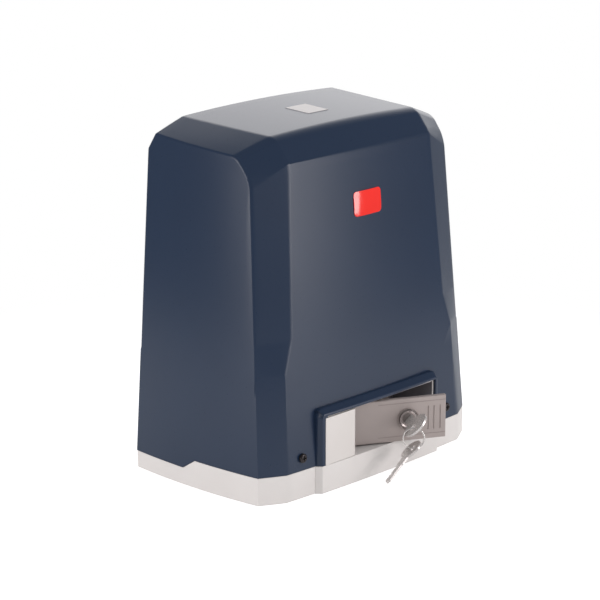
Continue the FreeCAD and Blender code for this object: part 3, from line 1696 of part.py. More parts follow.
all_sets = (front_set, rear_set, worm_set, flange_set, shield_set)
save("bearing_outer_rings", [bearing_set[0] for bearing_set in all_sets])
save("bearing_balls", [ball for bearing_set in all_sets for ball in bearing_set[2]])
save("output_inner_rings", [front_set[1], rear_set[1]])
save("motor_inner_rings", [worm_set[1], flange_set[1], shield_set[1]])
seal_rear = boss_rear_y - seal_setback
save("oil_seal", ring_y(
    0, shaft_z, seal_outer_radius, rear_journal_radius + running_clearance, seal_rear - seal_width, seal_rear
))
save("gearbox_cover", make_gearbox_cover())
save("gearbox_gasket", make_gasket())
save("m5_screws", make_m5_screws())
save("worm_shaft", make_worm_shaft())
save("rotor_core", ring_z(worm_x, wheel_mid_y, rotor_radius, rotor_shaft_radius, stator_bottom, stator_top))
save("motor_flange", make_motor_flange())
save("stator_core", make_stator())
save("motor_windings", make_windings())
save("end_shield", make_end_shield())
save("tie_screws", make_tie_screws())
save("run_capacitor", make_capacitor())
save("transformer_core", make_transformer_core())
save("transformer_coil", make_transformer_coil())
save("board_carrier", make_board_carrier())
save("control_board", make_control_board())
save("board_screws", make_board_screws())
save("terminal_blocks", make_terminal_blocks())
save("relays", make_relays())
save("display_module", make_display())
save("button_switches", make_button_switches())
for name, x in zip(("button_down", "button_ok", "button_up"), button_positions):
    save(name, make_button(x))
save("limit_switch_body", make_limit_body())
save("limit_wand", make_limit_wand())
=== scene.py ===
import math
import bmesh
import bpy
from mathutils import Matrix, Vector


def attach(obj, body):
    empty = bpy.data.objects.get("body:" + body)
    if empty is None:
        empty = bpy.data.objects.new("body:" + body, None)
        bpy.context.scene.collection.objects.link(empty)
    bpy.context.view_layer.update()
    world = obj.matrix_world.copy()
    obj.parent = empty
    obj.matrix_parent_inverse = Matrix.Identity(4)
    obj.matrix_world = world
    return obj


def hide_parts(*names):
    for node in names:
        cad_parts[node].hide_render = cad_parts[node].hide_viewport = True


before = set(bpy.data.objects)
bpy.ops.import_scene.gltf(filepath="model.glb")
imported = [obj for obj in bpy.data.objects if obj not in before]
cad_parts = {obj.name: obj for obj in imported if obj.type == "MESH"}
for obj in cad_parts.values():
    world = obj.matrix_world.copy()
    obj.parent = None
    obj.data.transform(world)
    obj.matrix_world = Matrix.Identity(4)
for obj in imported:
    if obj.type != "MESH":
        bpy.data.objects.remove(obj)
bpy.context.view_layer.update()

MM = 0.001


# ---- Camera ----
# A long lens a little above the cover, seen from the front left corner.

target = Vector((-2.91, -0.34, 122.89)) * MM
turn = math.radians(47.07)
rise = math.radians(15.45)
sight = Vector((math.sin(turn) * math.cos(rise), math.cos(turn) * math.cos(rise), -math.sin(rise)))
camera_data = bpy.data.cameras.new("camera")
camera_data.lens = 138.28
camera_data.sensor_width = 36.0
camera_data.clip_end = 50.0
camera = bpy.data.objects.new("camera", camera_data)
camera.location = target - sight * 1.80496
camera.rotation_mode = "QUATERNION"
camera.rotation_quaternion = sight.to_track_quat("-Z", "Y")
bpy.context.scene.collection.objects.link(camera)
bpy.context.scene.camera = camera
bpy.context.scene.view_settings.view_transform = "Standard"


# ---- Studio ----
# A white sweep with three soft boxes: front right, left, and low behind for the glow on the top.
# The world is white where it is seen, lights evenly, and mirrors as a pale sweep behind and a dim room in front.

def add(tree, kind, inputs=None, **settings):
    """Adds one node with its settings; an input is a value or another node's output."""
    made = tree.nodes.new(kind)
    for name, value in settings.items():
        setattr(made, name, value)
    for name, value in (inputs or {}).items():
        if isinstance(value, bpy.types.NodeSocket):
            tree.links.new(value, made.inputs[name])
        else:
            made.inputs[name].default_value = value
    return made


def linear(text, alpha=1.0):
    """sRGB hex to linear colour."""
    parts = [int(text[i:i + 2], 16) / 255 for i in (1, 3, 5)]
    return [c / 12.92 if c <= 0.04045 else ((c + 0.055) / 1.055) ** 2.4 for c in parts] + [alpha]


world = bpy.data.worlds.new("studio")
bpy.context.scene.world = world
world.use_nodes = True
sky = world.node_tree
sky.nodes.clear()
rays = add(sky, "ShaderNodeLightPath").outputs
toward = add(sky, "ShaderNodeTexCoord").outputs["Generated"]
behind = add(sky, "ShaderNodeVectorMath", {0: toward, 1: (0.73, 0.68, 0.0)}, operation="DOT_PRODUCT")
sweep_share = add(sky, "ShaderNodeMapRange", {"Value": behind.outputs["Value"], "From Min": 0.55, "From Max": 0.98,
                                              "To Min": 0.12, "To Max": 1.0}, interpolation_type="SMOOTHSTEP")
mirrored = add(sky, "ShaderNodeMix", {0: rays["Is Glossy Ray"], 2: 0.88, 3: sweep_share.outputs[0]},
               data_type="FLOAT")
clear = add(sky, "ShaderNodeMath", {0: rays["Is Camera Ray"], 1: rays["Is Transmission Ray"]}, operation="MAXIMUM")
strength = add(sky, "ShaderNodeMix", {0: clear.outputs[0], 2: mirrored.outputs[0], 3: 1.0}, data_type="FLOAT")
glow = add(sky, "ShaderNodeBackground", {"Color": (1, 1, 1, 1), "Strength": strength.outputs[0]})
add(sky, "ShaderNodeOutputWorld", {"Surface": glow.outputs[0]})

bpy.ops.mesh.primitive_circle_add(vertices=96, radius=0.65, fill_type="NGON", location=(0, 0, -0.0002))
floor = bpy.context.object
floor.name = "floor"
sweep = bpy.data.materials.new("white_sweep")
sweep.use_nodes = True
tree = sweep.node_tree
tree.nodes.clear()
place = add(tree, "ShaderNodeTexCoord")
away = add(tree, "ShaderNodeVectorMath", {0: place.outputs["Object"]}, operation="LENGTH")
fade = add(tree, "ShaderNodeMapRange", {"Value": away.outputs["Value"], "From Min": 0.16, "From Max": 0.50},
           interpolation_type="SMOOTHSTEP")
paper = add(tree, "ShaderNodeBsdfDiffuse", {"Color": (0.82, 0.82, 0.82, 1)})
lift = add(tree, "ShaderNodeEmission", {"Color": (1, 1, 1, 1), "Strength": 0.55})
near = add(tree, "ShaderNodeAddShader", {0: paper.outputs[0], 1: lift.outputs[0]})
bright = add(tree, "ShaderNodeEmission", {"Color": (1, 1, 1, 1), "Strength": 1.0})
seen = add(tree, "ShaderNodeMixShader", {0: fade.outputs[0], 1: near.outputs[0], 2: bright.outputs[0]})
rays = add(tree, "ShaderNodeLightPath")
both = add(tree, "ShaderNodeMixShader",
           {0: rays.outputs["Is Camera Ray"], 1: paper.outputs[0], 2: seen.outputs[0]})
add(tree, "ShaderNodeOutputMaterial", {"Surface": both.outputs[0]})
floor.data.materials.append(sweep)

lamp_aim = Vector((0, 0, 0.16))
for name, where, width, height, watts in (
    ("front_right_box", (0.72, -1.42, 0.38), 0.65, 1.0, 9.5),
    ("left_box", (-1.55, 0.38, 0.36), 0.6, 1.0, 8.5),
    ("back_box", (0.66, 0.62, 0.56), 1.2, 0.60, 2.0),
):
    data = bpy.data.lights.new(name, "AREA")
    data.shape = "RECTANGLE"
    data.size = width
    data.size_y = height
    data.energy = watts
    data.color = (1.0, 0.965, 0.965)
    lamp = bpy.data.objects.new(name, data)
    lamp.location = where
    lamp.rotation_euler = (lamp_aim - Vector(where)).to_track_quat("-Z", "Y").to_euler()
    lamp.visible_camera = False
    bpy.context.scene.collection.objects.link(lamp)


# ---- Base ----
# Die-cast aluminium base with the gearbox box in one piece, powder coated light silver grey.
# The coat leaves a fine orange peel and rounds the cast edges.

def only(piece):
    """Selects one piece and makes it active, or selects nothing."""
    bpy.ops.object.select_all(action="DESELECT")
    if piece:
        piece.select_set(True)
        bpy.context.view_layer.objects.active = piece


def finish(name, colour, shade, roughness, metallic=0.0, patch_mm=30.0, grain_mm=1.0, grain_depth=0.15, **sockets):
    """A surface of two close tones in soft patches, with a fine grain that moves its gloss and relief."""
    made = bpy.data.materials.new(name)
    made.use_nodes = True
    tree = made.node_tree
    tree.nodes.clear()
    place = add(tree, "ShaderNodeTexCoord").outputs["Object"]
    patches = add(tree, "ShaderNodeTexNoise", {"Vector": place, "Scale": 1 / (patch_mm * MM), "Detail": 3.0})
    grain = add(tree, "ShaderNodeTexNoise", {"Vector": place, "Scale": 1 / (grain_mm * MM), "Detail": 2.0})
    tone = add(tree, "ShaderNodeMix", {0: patches.outputs[0], 6: linear(colour), 7: linear(shade)},
               data_type="RGBA")
    gloss = add(tree, "ShaderNodeMapRange", {"Value": grain.outputs[0], "To Min": roughness * 0.88,
                                             "To Max": min(1.0, roughness * 1.12)})
    relief = add(tree, "ShaderNodeBump",
                 {"Strength": grain_depth, "Distance": 0.1 * MM, "Height": grain.outputs[0]})
    shader = add(tree, "ShaderNodeBsdfPrincipled", {
        "Base Color": tone.outputs[2], "Roughness": gloss.outputs[0], "Normal": relief.outputs[0],
        "Metallic": metallic,
    })
    for socket, value in sockets.items():
        shader.inputs[socket.replace("_", " ")].default_value = value
    add(tree, "ShaderNodeOutputMaterial", {"Surface": shader.outputs[0]})
    return made


def coat(material, *nodes):
    """Gives CAD nodes their finish."""
    for name in nodes:
        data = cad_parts[name].data
        data.materials.clear()
        data.materials.append(material)


def softened(node, name, width_mm, body, material, degrees=40, segments=2):
    """A merged copy of a CAD node with its hard edges rounded, which stands for that node."""
    piece = bpy.data.objects.new(name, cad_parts[node].data.copy())
    bpy.context.scene.collection.objects.link(piece)
    only(piece)
    bpy.ops.object.mode_set(mode="EDIT")
    bpy.ops.mesh.select_all(action="SELECT")
    bpy.ops.mesh.remove_doubles(threshold=0.002 * MM)
    bpy.ops.mesh.dissolve_limited(angle_limit=math.radians(0.5))
    bpy.ops.object.mode_set(mode="OBJECT")
    edge = piece.modifiers.new("edge", "BEVEL")
    edge.limit_method = "ANGLE"
    edge.angle_limit = math.radians(degrees)
    edge.width = width_mm * MM
    edge.segments = segments
    edge.use_clamp_overlap = True
    bpy.ops.object.modifier_apply(modifier="edge")
    smooth = piece.modifiers.new("smooth", "WEIGHTED_NORMAL")
    smooth.keep_sharp = True
    bpy.ops.object.shade_smooth_by_angle(angle=math.radians(30))
    bpy.ops.object.modifier_apply(modifier="smooth")
    piece.data.materials.clear()
    piece.data.materials.append(material)
    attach(piece, body)
    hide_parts(node)
    return piece


# pale coat with faint broad patches and a fine peel that softens its shine
silver_coat = finish("silver_powder_coat", "#dcd8d6", "#d2cdcb", 0.42, grain_mm=1.2, grain_depth=0.12)
softened("base_housing", "base_casting", 0.5, "base", silver_coat)
# near black and dull, with a slight speckle
rubber = finish("black_rubber", "#17171a", "#202023", 0.7, grain_mm=0.8)
coat(rubber, "cable_grommet", "oil_seal")


# ---- Release pocket ----
# Zinc pocket behind the lever: bright satin frame and fixed block, with its inside painted dark grey as painted
# shade.

pocket_front_y = -80.9
block_right_x = -28.6


def pocket_finish_with_painted_shade():
    """Pale satin zinc, painted dark grey behind the lever as painted shade, so the pocket reads as deep."""
    made = finish("satin_zinc", "#d8d3d0", "#cec8c5", 0.4, grain_mm=1.0, grain_depth=0.1)
    tree = made.node_tree
    shader = next(n for n in tree.nodes if n.type == "BSDF_PRINCIPLED")
    bright = shader.inputs["Base Color"].links[0].from_socket
    place = next(n for n in tree.nodes if n.type == "TEX_COORD").outputs["Object"]
    axes = add(tree, "ShaderNodeSeparateXYZ", {0: place})
    # painted shade: behind the pocket's front and right of the fixed block, the colour turns dark grey
    behind = add(tree, "ShaderNodeMath", {0: axes.outputs["Y"], 1: pocket_front_y * MM}, operation="GREATER_THAN")
    beside = add(tree, "ShaderNodeMath", {0: axes.outputs["X"], 1: block_right_x * MM}, operation="GREATER_THAN")
    inside = add(tree, "ShaderNodeMath", {0: behind.outputs[0], 1: beside.outputs[0]}, operation="MULTIPLY")
    tone = add(tree, "ShaderNodeMix", {0: inside.outputs[0], 6: bright, 7: linear("#7d7a80")}, data_type="RGBA")
    tree.links.new(tone.outputs[2], shader.inputs["Base Color"])
    return made


softened("release_housing", "release_pocket", 0.25, "base", pocket_finish_with_painted_shade())
# small bright parts with soft cloudy plating
zinc_plate = finish("zinc_plated_steel", "#bcbcb8", "#aeb0ae", 0.32, metallic=1.0, patch_mm=8, grain_mm=0.8,
                    grain_depth=0.05)
coat(zinc_plate, "lever_pivot_pin", "m5_screws", "tie_screws", "board_screws", "pinion_bolt", "limit_wand",
     "lock_nut", "lock_tongue", "tongue_screw", "push_rod")


# ---- Release lever ----
# Die-cast zinc lever in warm grey satin nickel, with three finger grooves; its fine raised border is bumped in and
# drawn as darker lines of painted shade.

lever_pivot = Vector((6.1, -76.0, 0)) * MM
lever_open = math.radians(29.5)
border_levels = (53.5, 27.0)
border_width = 0.35
border_left_x = 2.0


def lever_finish_with_painted_border_shade():
    """Warm satin grey with two fine lines that stand for the raised border along its long edges: bumped in, and
    painted darker as painted shade.
    """
    made = finish("satin_nickel", "#b0a5a2", "#a69b98", 0.45, metallic=0.35, grain_mm=1.0, grain_depth=0.2)
    tree = made.node_tree
    shader = next(n for n in tree.nodes if n.type == "BSDF_PRINCIPLED")
    relief = shader.inputs["Normal"].links[0].from_node
    place = next(n for n in tree.nodes if n.type == "TEX_COORD").outputs["Object"]
    shut = add(tree, "ShaderNodeVectorRotate",
               {"Vector": place, "Center": lever_pivot, "Axis": (0, 0, 1), "Angle": lever_open})
    axes = add(tree, "ShaderNodeSeparateXYZ", {0: shut.outputs[0]})
    lines = []
    for level in border_levels:
        off = add(tree, "ShaderNodeMath", {0: axes.outputs["Z"], 1: level * MM, 2: border_width * MM},
                  operation="COMPARE")
        lines.append(off.outputs[0])
    both = add(tree, "ShaderNodeMath", {0: lines[0], 1: lines[1]}, operation="MAXIMUM")
    right = add(tree, "ShaderNodeMath", {0: axes.outputs["X"], 1: border_left_x * MM}, operation="GREATER_THAN")
    line = add(tree, "ShaderNodeMath", {0: both.outputs[0], 1: right.outputs[0]}, operation="MULTIPLY")
    depth = add(tree, "ShaderNodeBump", {"Strength": 0.6, "Distance": 0.3 * MM, "Height": line.outputs[0],
                                         "Normal": relief.outputs[0]}, invert=True)
    tree.links.new(depth.outputs[0], shader.inputs["Normal"])
    # painted shade: the border lines are mixed 30 % toward dark grey
    bright = shader.inputs["Base Color"].links[0].from_socket
    share = add(tree, "ShaderNodeMath", {0: line.outputs[0], 1: 0.3}, operation="MULTIPLY")
    tone = add(tree, "ShaderNodeMix", {0: share.outputs[0], 6: bright, 7: linear("#5a5250")}, data_type="RGBA")
    tree.links.new(tone.outputs[2], shader.inputs["Base Color"])
    return made


softened("release_lever", "lever_casting", 0.22, "lever", lever_finish_with_painted_border_shade(), degrees=50)


# ---- Cam lock ----
# Turned brass barrel, chromed; its collar has a deep ring groove round the plug, which reads as a dark ring.
# The plug turns in it and is a tone darker.

lock_x = 26.5
lock_z = 40.6


def turned(name, outline, x, z):
    """A piece turned on a lathe: the closed outline of (radius, depth) in mm is spun about a line along Y."""
    only(None)
    bpy.ops.mesh.primitive_circle_add(vertices=len(outline), radius=0.01, location=(0, 0, 0))
    piece = bpy.context.object
    piece.name = name
    for vertex, (radius, depth) in zip(piece.data.vertices, outline):
        vertex.co = Vector((x + radius, depth, z)) * MM
    bpy.ops.object.mode_set(mode="EDIT")
    bpy.ops.mesh.select_all(action="SELECT")
    bpy.ops.mesh.spin(steps=72, angle=2 * math.pi, center=Vector((x, 0, z)) * MM, axis=(0, 1, 0))
    bpy.ops.mesh.select_all(action="SELECT")
    bpy.ops.mesh.remove_doubles(threshold=0.002 * MM)
    bpy.ops.mesh.normals_make_consistent(inside=False)
    bpy.ops.object.mode_set(mode="OBJECT")
    bpy.ops.object.shade_smooth_by_angle(angle=math.radians(30))
    return piece


def opened(piece):
    """Turns a piece made with the lever shut to where it stands."""
    there, back = Matrix.Translation(lever_pivot), Matrix.Translation(-lever_pivot)
    piece.data.transform(there @ Matrix.Rotation(-lever_open, 4, "Z") @ back)
    return piece


# smooth chrome with slightly cloudy tone
dark_chrome = finish("dark_chrome", "#c4bbb9", "#b3a9a7", 0.3, metallic=0.7, patch_mm=6, grain_mm=0.6,
                     grain_depth=0.03)
barrel = opened(turned("lock_barrel", [
    (5.06, -85.9), (5.06, -64.0), (7.4, -64.0), (7.5, -64.2), (7.5, -83.98), (8.2, -83.98), (8.5, -84.3),
    (8.5, -85.5), (8.4, -85.8), (8.3, -85.9), (8.2, -85.9), (8.1, -83.0), (7.1, -83.0), (7.0, -85.7),
    (6.7, -86.0), (5.2, -85.4),
], lock_x, lock_z))
barrel.data.materials.append(dark_chrome)
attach(barrel, "lever")
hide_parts("lock_body")
# worn chrome, uneven in tone over a few millimetres
plug_chrome = finish("plug_chrome", "#a79e9c", "#8c8482", 0.3, metallic=0.8, patch_mm=4, grain_mm=0.5,
                     grain_depth=0.05)
softened("lock_cylinder", "lock_plug", 0.2, "lock", plug_chrome)


# ---- Keys and ring ----
# Pressed brass keys in bright nickel with rounded bows, on a sprung steel wire ring.

# pale soft shine, almost without grain
nickel = finish("bright_nickel", "#dedad8", "#cfcac8", 0.28, metallic=0.6, patch_mm=5, grain_mm=0.7,
                grain_depth=0.03)
softened("key", "lock_key", 0.3, "key_body", nickel)
softened("spare_key", "second_key", 0.3, "spare", nickel)
coat(nickel, "pinion_washer")
ring_centre = Vector((9.27, -108.24, 30.635))
ring_facing = math.radians(47)
only(None)
bpy.ops.mesh.primitive_torus_add(major_radius=8.2 * MM, minor_radius=0.6 * MM, major_segments=96,
                                 minor_segments=16, location=ring_centre * MM,
                                 rotation=(math.pi / 2, 0, -ring_facing))
wire_ring = bpy.context.object
wire_ring.name = "wire_ring"
bpy.ops.object.transform_apply(location=True, rotation=True, scale=True)
bpy.ops.object.shade_smooth()
# drawn wire, brighter than the keys
wire_ring.data.materials.append(finish("spring_wire", "#e4e1df", "#d6d2cf", 0.22, metallic=0.6, patch_mm=5,
                                       grain_mm=0.7, grain_depth=0.03))
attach(wire_ring, "ring")
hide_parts("key_ring")


# ---- Gearbox ----
# Worm gear running in grease: ground steel shafts, bronze wheel, die-cast cover and motor ends.

# clean grey steel with an even fine shine
ground = finish("ground_steel", "#a9a8a6", "#9b9a98", 0.28, metallic=1.0, patch_mm=10, grain_mm=0.6,
                grain_depth=0.05)
coat(ground, "shift_fork", "clutch_sleeve", "clutch_spring", "output_shaft", "shaft_keys", "wheel_circlip",
     "bearing_outer_rings", "bearing_balls", "output_inner_rings", "motor_inner_rings", "worm_shaft")
# warm yellow brown, mottled as cast
bronze = finish("cast_bronze", "#c09058", "#a97b46", 0.35, metallic=1.0, patch_mm=12, grain_mm=0.8)
coat(bronze, "worm_wheel", "wheel_bush")
# matt light grey with the rough skin of the die
die_cast = finish("die_cast_aluminium", "#b9b9ba", "#adadae", 0.45, metallic=0.9, grain_mm=1.0, grain_depth=0.25)
coat(die_cast, "gearbox_cover", "motor_flange", "end_shield")
# dull dark fibre
coat(finish("gasket_fibre", "#4a4a48", "#3e3e3c", 0.85), "gearbox_gasket")
# steel with a faint cutting texture and lightly broken edges
hobbed = finish("hobbed_steel", "#b0aea9", "#9d9b96", 0.3, metallic=1.0, patch_mm=14, grain_mm=0.7,
                grain_depth=0.08)
softened("pinion", "rack_pinion", 0.35, "output", hobbed, degrees=35)


# ---- Motor ----
# Induction motor: stacked steel laminations between the flange and the end shield, varnished copper heads.

wave_scale = 50.0


def lamination_finish():
    """Dark grey steel with level bands that stand for packs of stacked sheets."""
    made = finish("steel_laminations", "#6d6a66", "#5d5a57", 0.5, metallic=0.8, grain_mm=1.0)
    tree = made.node_tree
    shader = next(n for n in tree.nodes if n.type == "BSDF_PRINCIPLED")
    relief = shader.inputs["Normal"].links[0].from_node
    place = next(n for n in tree.nodes if n.type == "TEX_COORD").outputs["Object"]
    # sheets are 0.5 mm thick and too fine to show, so the bands lie about 6 mm apart
    sheets = add(tree, "ShaderNodeTexWave", {"Vector": place, "Scale": wave_scale}, bands_direction="Z")
    depth = add(tree, "ShaderNodeBump", {"Strength": 0.5, "Distance": 0.2 * MM, "Height": sheets.outputs[1],
                                         "Normal": relief.outputs[0]})
    tree.links.new(depth.outputs[0], shader.inputs["Normal"])
    return made


coat(lamination_finish(), "stator_core", "rotor_core", "transformer_core")
# red brown with a lumpy gloss, as varnished wire has
copper = finish("varnished_copper", "#a8552a", "#8c4321", 0.3, metallic=0.6, patch_mm=6, grain_mm=1.2,
                grain_depth=0.5)
coat(copper, "motor_windings", "transformer_coil")


# ---- Electrical pieces ----
# Glass fibre board on a moulded carrier, with green screw terminals, relays, a display and three push buttons.

# plain mouldings: each has two close tones and a faint grain; the board and the display are the glossy ones
coat(finish("capacitor_plastic", "#d9d7d0", "#cfcdc6", 0.45), "run_capacitor")
black_abs = finish("black_moulding", "#1f1f22", "#27272a", 0.5, grain_mm=0.8)
coat(black_abs, "board_carrier", "button_switches", "limit_switch_body")
coat(finish("solder_mask", "#1f5a38", "#1a4d30", 0.3, patch_mm=6, grain_mm=0.8, grain_depth=0.1), "control_board")
coat(finish("green_terminal", "#2f8a45", "#287a3c", 0.4), "terminal_blocks")
coat(finish("relay_case", "#2c4f8c", "#27467d", 0.35), "relays")
coat(finish("display_window", "#2a1414", "#201010", 0.1), "display_module")
coat(finish("button_cap", "#8c8c8c", "#828282", 0.5), "button_down", "button_ok", "button_up")


# ---- Cover ----
# Tower cover of navy ABS, moulded in one piece with a fine spark-eroded grain; the real wall is 3 mm.
# Its drafted faces swell slightly, and its front bevel and front corners bend in wide soft radii.

foot_level, head_level = 21.5, 260.0
kink_low, kink_high = 97.0, 123.0
band_foot_x, band_low_x, band_high_x, band_head_x = 100.4, 95.9, 87.6, 78.9
top_edge_x, top_front_y, top_front_z = 80, -46, 270
rear_bevel_y, rear_bevel_z = 47, 274.65
cover_wall = 3.0


def along(foot, head, level):
    """A measure at one level, between its values at the foot and at the head."""
    return foot + (head - foot) * (level - foot_level) / (head_level - foot_level)


def band_x(level):
    """Where the front meets the corner band, which steps inwards between two levels."""
    if level <= kink_low:
        return band_foot_x + (band_low_x - band_foot_x) * (level - foot_level) / (kink_low - foot_level)
    if level <= kink_high:
        return band_low_x + (band_high_x - band_low_x) * (level - kink_low) / (kink_high - kink_low)
    return band_high_x + (band_head_x - band_high_x) * (level - kink_high) / (head_level - kink_high)


def plan(level, wall):
    """The eight corners of the tower at one level, moved inwards by a wall."""
    side = along(120.0, 109.1, level)
    right = [
        (band_x(level), along(-77.5, -60.1, level)), (side, along(-66.6, -49.9, level)),
        (side, along(63.4, 56.6, level)), (along(100.4, 90.1, level), along(74.5, 67.0, level)),
    ]
    corners = [Vector(p) for p in right] + [Vector((-x, y)) for x, y in reversed(right)]
    moved = []
    for i, here in enumerate(corners):
        before = (here - corners[i - 1]).normalized()
        after = (corners[(i + 1) % 8] - here).normalized()
        one = Vector((-before.y, before.x))
        two = Vector((-after.y, after.x))
        moved.append(here + (one + two) * (wall / (1 + one.dot(two))))
    return moved


def edit(piece, wanted, mode="VERT"):
    """Selects what passes a test by its place, in edit mode."""
    bpy.ops.mesh.select_mode(type=mode)
    bpy.ops.mesh.select_all(action="DESELECT")
    mesh = bmesh.from_edit_mesh(piece.data)
    items = {"VERT": mesh.verts, "EDGE": mesh.edges, "FACE": mesh.faces}[mode]
    for item in items:
        item.select_set(bool(wanted(item)))
    bmesh.update_edit_mesh(piece.data)


def slice_at(point, normal, drop=False):
    """Cuts a loop across everything, or cuts off and closes what lies beyond the plane."""
    bpy.ops.mesh.select_mode(type="FACE")
    bpy.ops.mesh.select_all(action="SELECT")
    bpy.ops.mesh.bisect(plane_co=Vector(point) * MM, plane_no=normal, use_fill=drop, clear_outer=drop,
                        threshold=0.001 * MM)


def tower_body(name, wall):
    """The closed tower in flat faces: eight corners pulled up through its levels, then its top is cut."""
    only(None)
    bpy.ops.mesh.primitive_circle_add(vertices=8, radius=0.1, fill_type="NGON", location=(0, 0, 0))
    piece = bpy.context.object
    piece.name = name
    bpy.ops.object.mode_set(mode="EDIT")
    bpy.ops.mesh.select_mode(type="FACE")
    bpy.ops.mesh.select_all(action="SELECT")
    for number, level in enumerate((-5.0, kink_low, kink_high, 300.0)):
        if number:
            bpy.ops.mesh.extrude_region_move(TRANSFORM_OT_translate={"value": (0, 0, 0.02)})
        mesh = bmesh.from_edit_mesh(piece.data)
        ring = sorted((v for v in mesh.verts if v.select), key=lambda v: math.atan2(v.co.y, v.co.x))
        corners = sorted(plan(level, wall), key=lambda p: math.atan2(p.y, p.x))
        for vertex, corner in zip(ring, corners):
            vertex.co = Vector((corner.x, corner.y, level)) * MM
        bmesh.update_edit_mesh(piece.data)
    # a point on each plane with the way it looks: top, front bevel and rear bevel, then side bevels and facets
    front, rear = (0, top_front_y, top_front_z), (0, rear_bevel_y, rear_bevel_z)
    cuts = [(front, (0, -0.05, 1)), (front, (0, -18, 14.7)), (rear, (0, 18, 13.5))]
    for sign in (-1, 1):
        front = (sign * top_edge_x, top_front_y, top_front_z)
        rear = (sign * top_edge_x, rear_bevel_y, rear_bevel_z)
        cuts.append((front, (sign * 0.39, -0.065, 1)))
        cuts.append((front, (sign * 0.407, -0.707, 0.578)))
        cuts.append((rear, (sign * 0.16, 0.80, 0.57)))
    for corner, outward in cuts:
        outward = Vector(outward).normalized()
        slice_at(Vector(corner) - outward * wall, outward, drop=True)
    bpy.ops.mesh.select_all(action="SELECT")
    bpy.ops.mesh.remove_doubles(threshold=0.01 * MM)
    bpy.ops.mesh.normals_make_consistent(inside=False)
    bpy.ops.object.mode_set(mode="OBJECT")
    return piece


def round_edges(piece, weigh, width, segments):
    """Rounds each edge by a share of one width."""
    mesh = bmesh.new()
    mesh.from_mesh(piece.data)
    layer = mesh.edges.layers.float.get("bevel_weight_edge") or mesh.edges.layers.float.new("bevel_weight_edge")
    for edge in mesh.edges:
        edge[layer] = weigh(edge) if len(edge.link_faces) == 2 else 0.0
    mesh.to_mesh(piece.data)
    mesh.free()
    only(piece)
    soft = piece.modifiers.new("soft", "BEVEL")
    soft.limit_method = "WEIGHT"
    soft.width = width * MM
    soft.segments = segments
    soft.use_clamp_overlap = False
    bpy.ops.object.modifier_apply(modifier="soft")


def side_of(face):
    """Names the tower's flat faces by the way they look."""
    n = face.normal
    if n.z > 0.9:
        return "top" if abs(n.x) < 0.2 else "side bevel"
    if n.z > 0.3:
        return "facet" if abs(n.x) > 0.1 else "bevel"
    if abs(n.x) > 0.9:
        return "side"
    return "band" if abs(n.x) > 0.3 else "wall"


def soft_weight(edge):
    """The wide soft bends: along the front bevel, and round each corner from the band to the side bevel."""
    pair = {side_of(face) for face in edge.link_faces}
    if edge.verts[0].co.y > 0:
        return 0.0
    if pair in ({"wall", "bevel"}, {"band", "facet"}):
        return 0.75
    if pair == {"facet", "side bevel"}:
        return 0.6
    if pair == {"top", "bevel"}:
        return 0.4
    return 0.0


def crisp_weight(edge):
    """Every other bend of more than a few degrees, above the open foot."""
    if edge.calc_face_angle(0) < math.radians(14) or min(v.co.z for v in edge.verts) < -4 * MM:
        return 0.0
    return 1.0


def ease(share):
    """A smooth rise from 0 to 1."""
    share = min(1.0, max(0.0, share))
    return share * share * (3 - 2 * share)


def swell(co):
    """Swells the flat faces: front, rear and sides outwards and the top upwards, by a few millimetres."""
    x, y, z = co / MM
    across = max(0.0, 1 - (x / along(band_foot_x, band_head_x, z)) ** 2)
    low = 1 - ease((z - 244) / 28)
    moved = Vector((x, y, z))
    moved.y -= along(3.4, 2.3, z) * across * low * ease((along(-77.5, -60.1, z) + 26 - y) / 18)
    moved.y += 1.5 * across * low * ease((y - along(74.5, 67.0, z) + 26) / 18)
    moved.z += 2.0 * max(0.0, 1 - (x / top_edge_x) ** 2) * (1 - low)
    side = along(120.0, 109.1, z)
    y_front, y_rear = along(-66.6, -49.9, z), along(63.4, 56.6, z)
    middle, half = (y_front + y_rear) / 2, (y_rear - y_front) / 2
    moved.x += math.copysign(4.0, x) * max(0.0, 1 - ((y - middle) / half) ** 2) * ease((abs(x) - side + 28) / 20)
    return moved * MM


def mesh_grid(piece, x_steps, y_steps, z_steps):
    """Cuts loops across a piece at each step, so that its faces can curve."""
    only(piece)
    bpy.ops.object.mode_set(mode="EDIT")
    for normal, steps in (((1, 0, 0), x_steps), ((0, 1, 0), y_steps), ((0, 0, 1), z_steps)):
        for step in steps:
            slice_at(Vector(normal) * step, normal)
    bpy.ops.object.mode_set(mode="OBJECT")


def cut_with(piece, tool, operation):
    """Joins a tool to a piece or takes it away, and deletes the tool."""
    only(piece)
    change = piece.modifiers.new("change", "BOOLEAN")
    change.operation = operation
    change.solver = "EXACT"
    change.object = tool
    bpy.ops.object.modifier_apply(modifier="change")
    bpy.data.objects.remove(tool)


def block(name, low, high):
    """A box between two corners."""
    only(None)
    low, high = Vector(low) * MM, Vector(high) * MM
    bpy.ops.mesh.primitive_cube_add(size=1.0, location=(low + high) / 2, scale=high - low)
    piece = bpy.context.object
    piece.name = name
    bpy.ops.object.transform_apply(location=True, rotation=True, scale=True)
    return piece


recess_x, recess_z = 64.4, 60.4
bulge_x, bulge_front_y, bulge_root_y, bulge_z = 71, -83.6, -55, 66
bulge_shoulder, bulge_bevel, bulge_crown, bulge_taper = 7, 3.8, 1.4, 2.2
seam_rear_z, seam_step = 13.6, 8.2
notch_radius, shaft_z = 37, 72

shell = tower_body("cover_shell", 0.0)
round_edges(shell, soft_weight, 10.0, 7)
only(shell)
bpy.ops.object.mode_set(mode="EDIT")
bpy.ops.mesh.select_all(action="SELECT")
bpy.ops.mesh.remove_doubles(threshold=0.9 * MM)
bpy.ops.object.mode_set(mode="OBJECT")
round_edges(shell, crisp_weight, 1.6, 3)
mesh_grid(shell, range(-108, 109, 12), range(-60, 73, 12), [*range(20, 240, 20), 236, 246, 254])
for vertex in shell.data.vertices:
    vertex.co = swell(vertex.co)

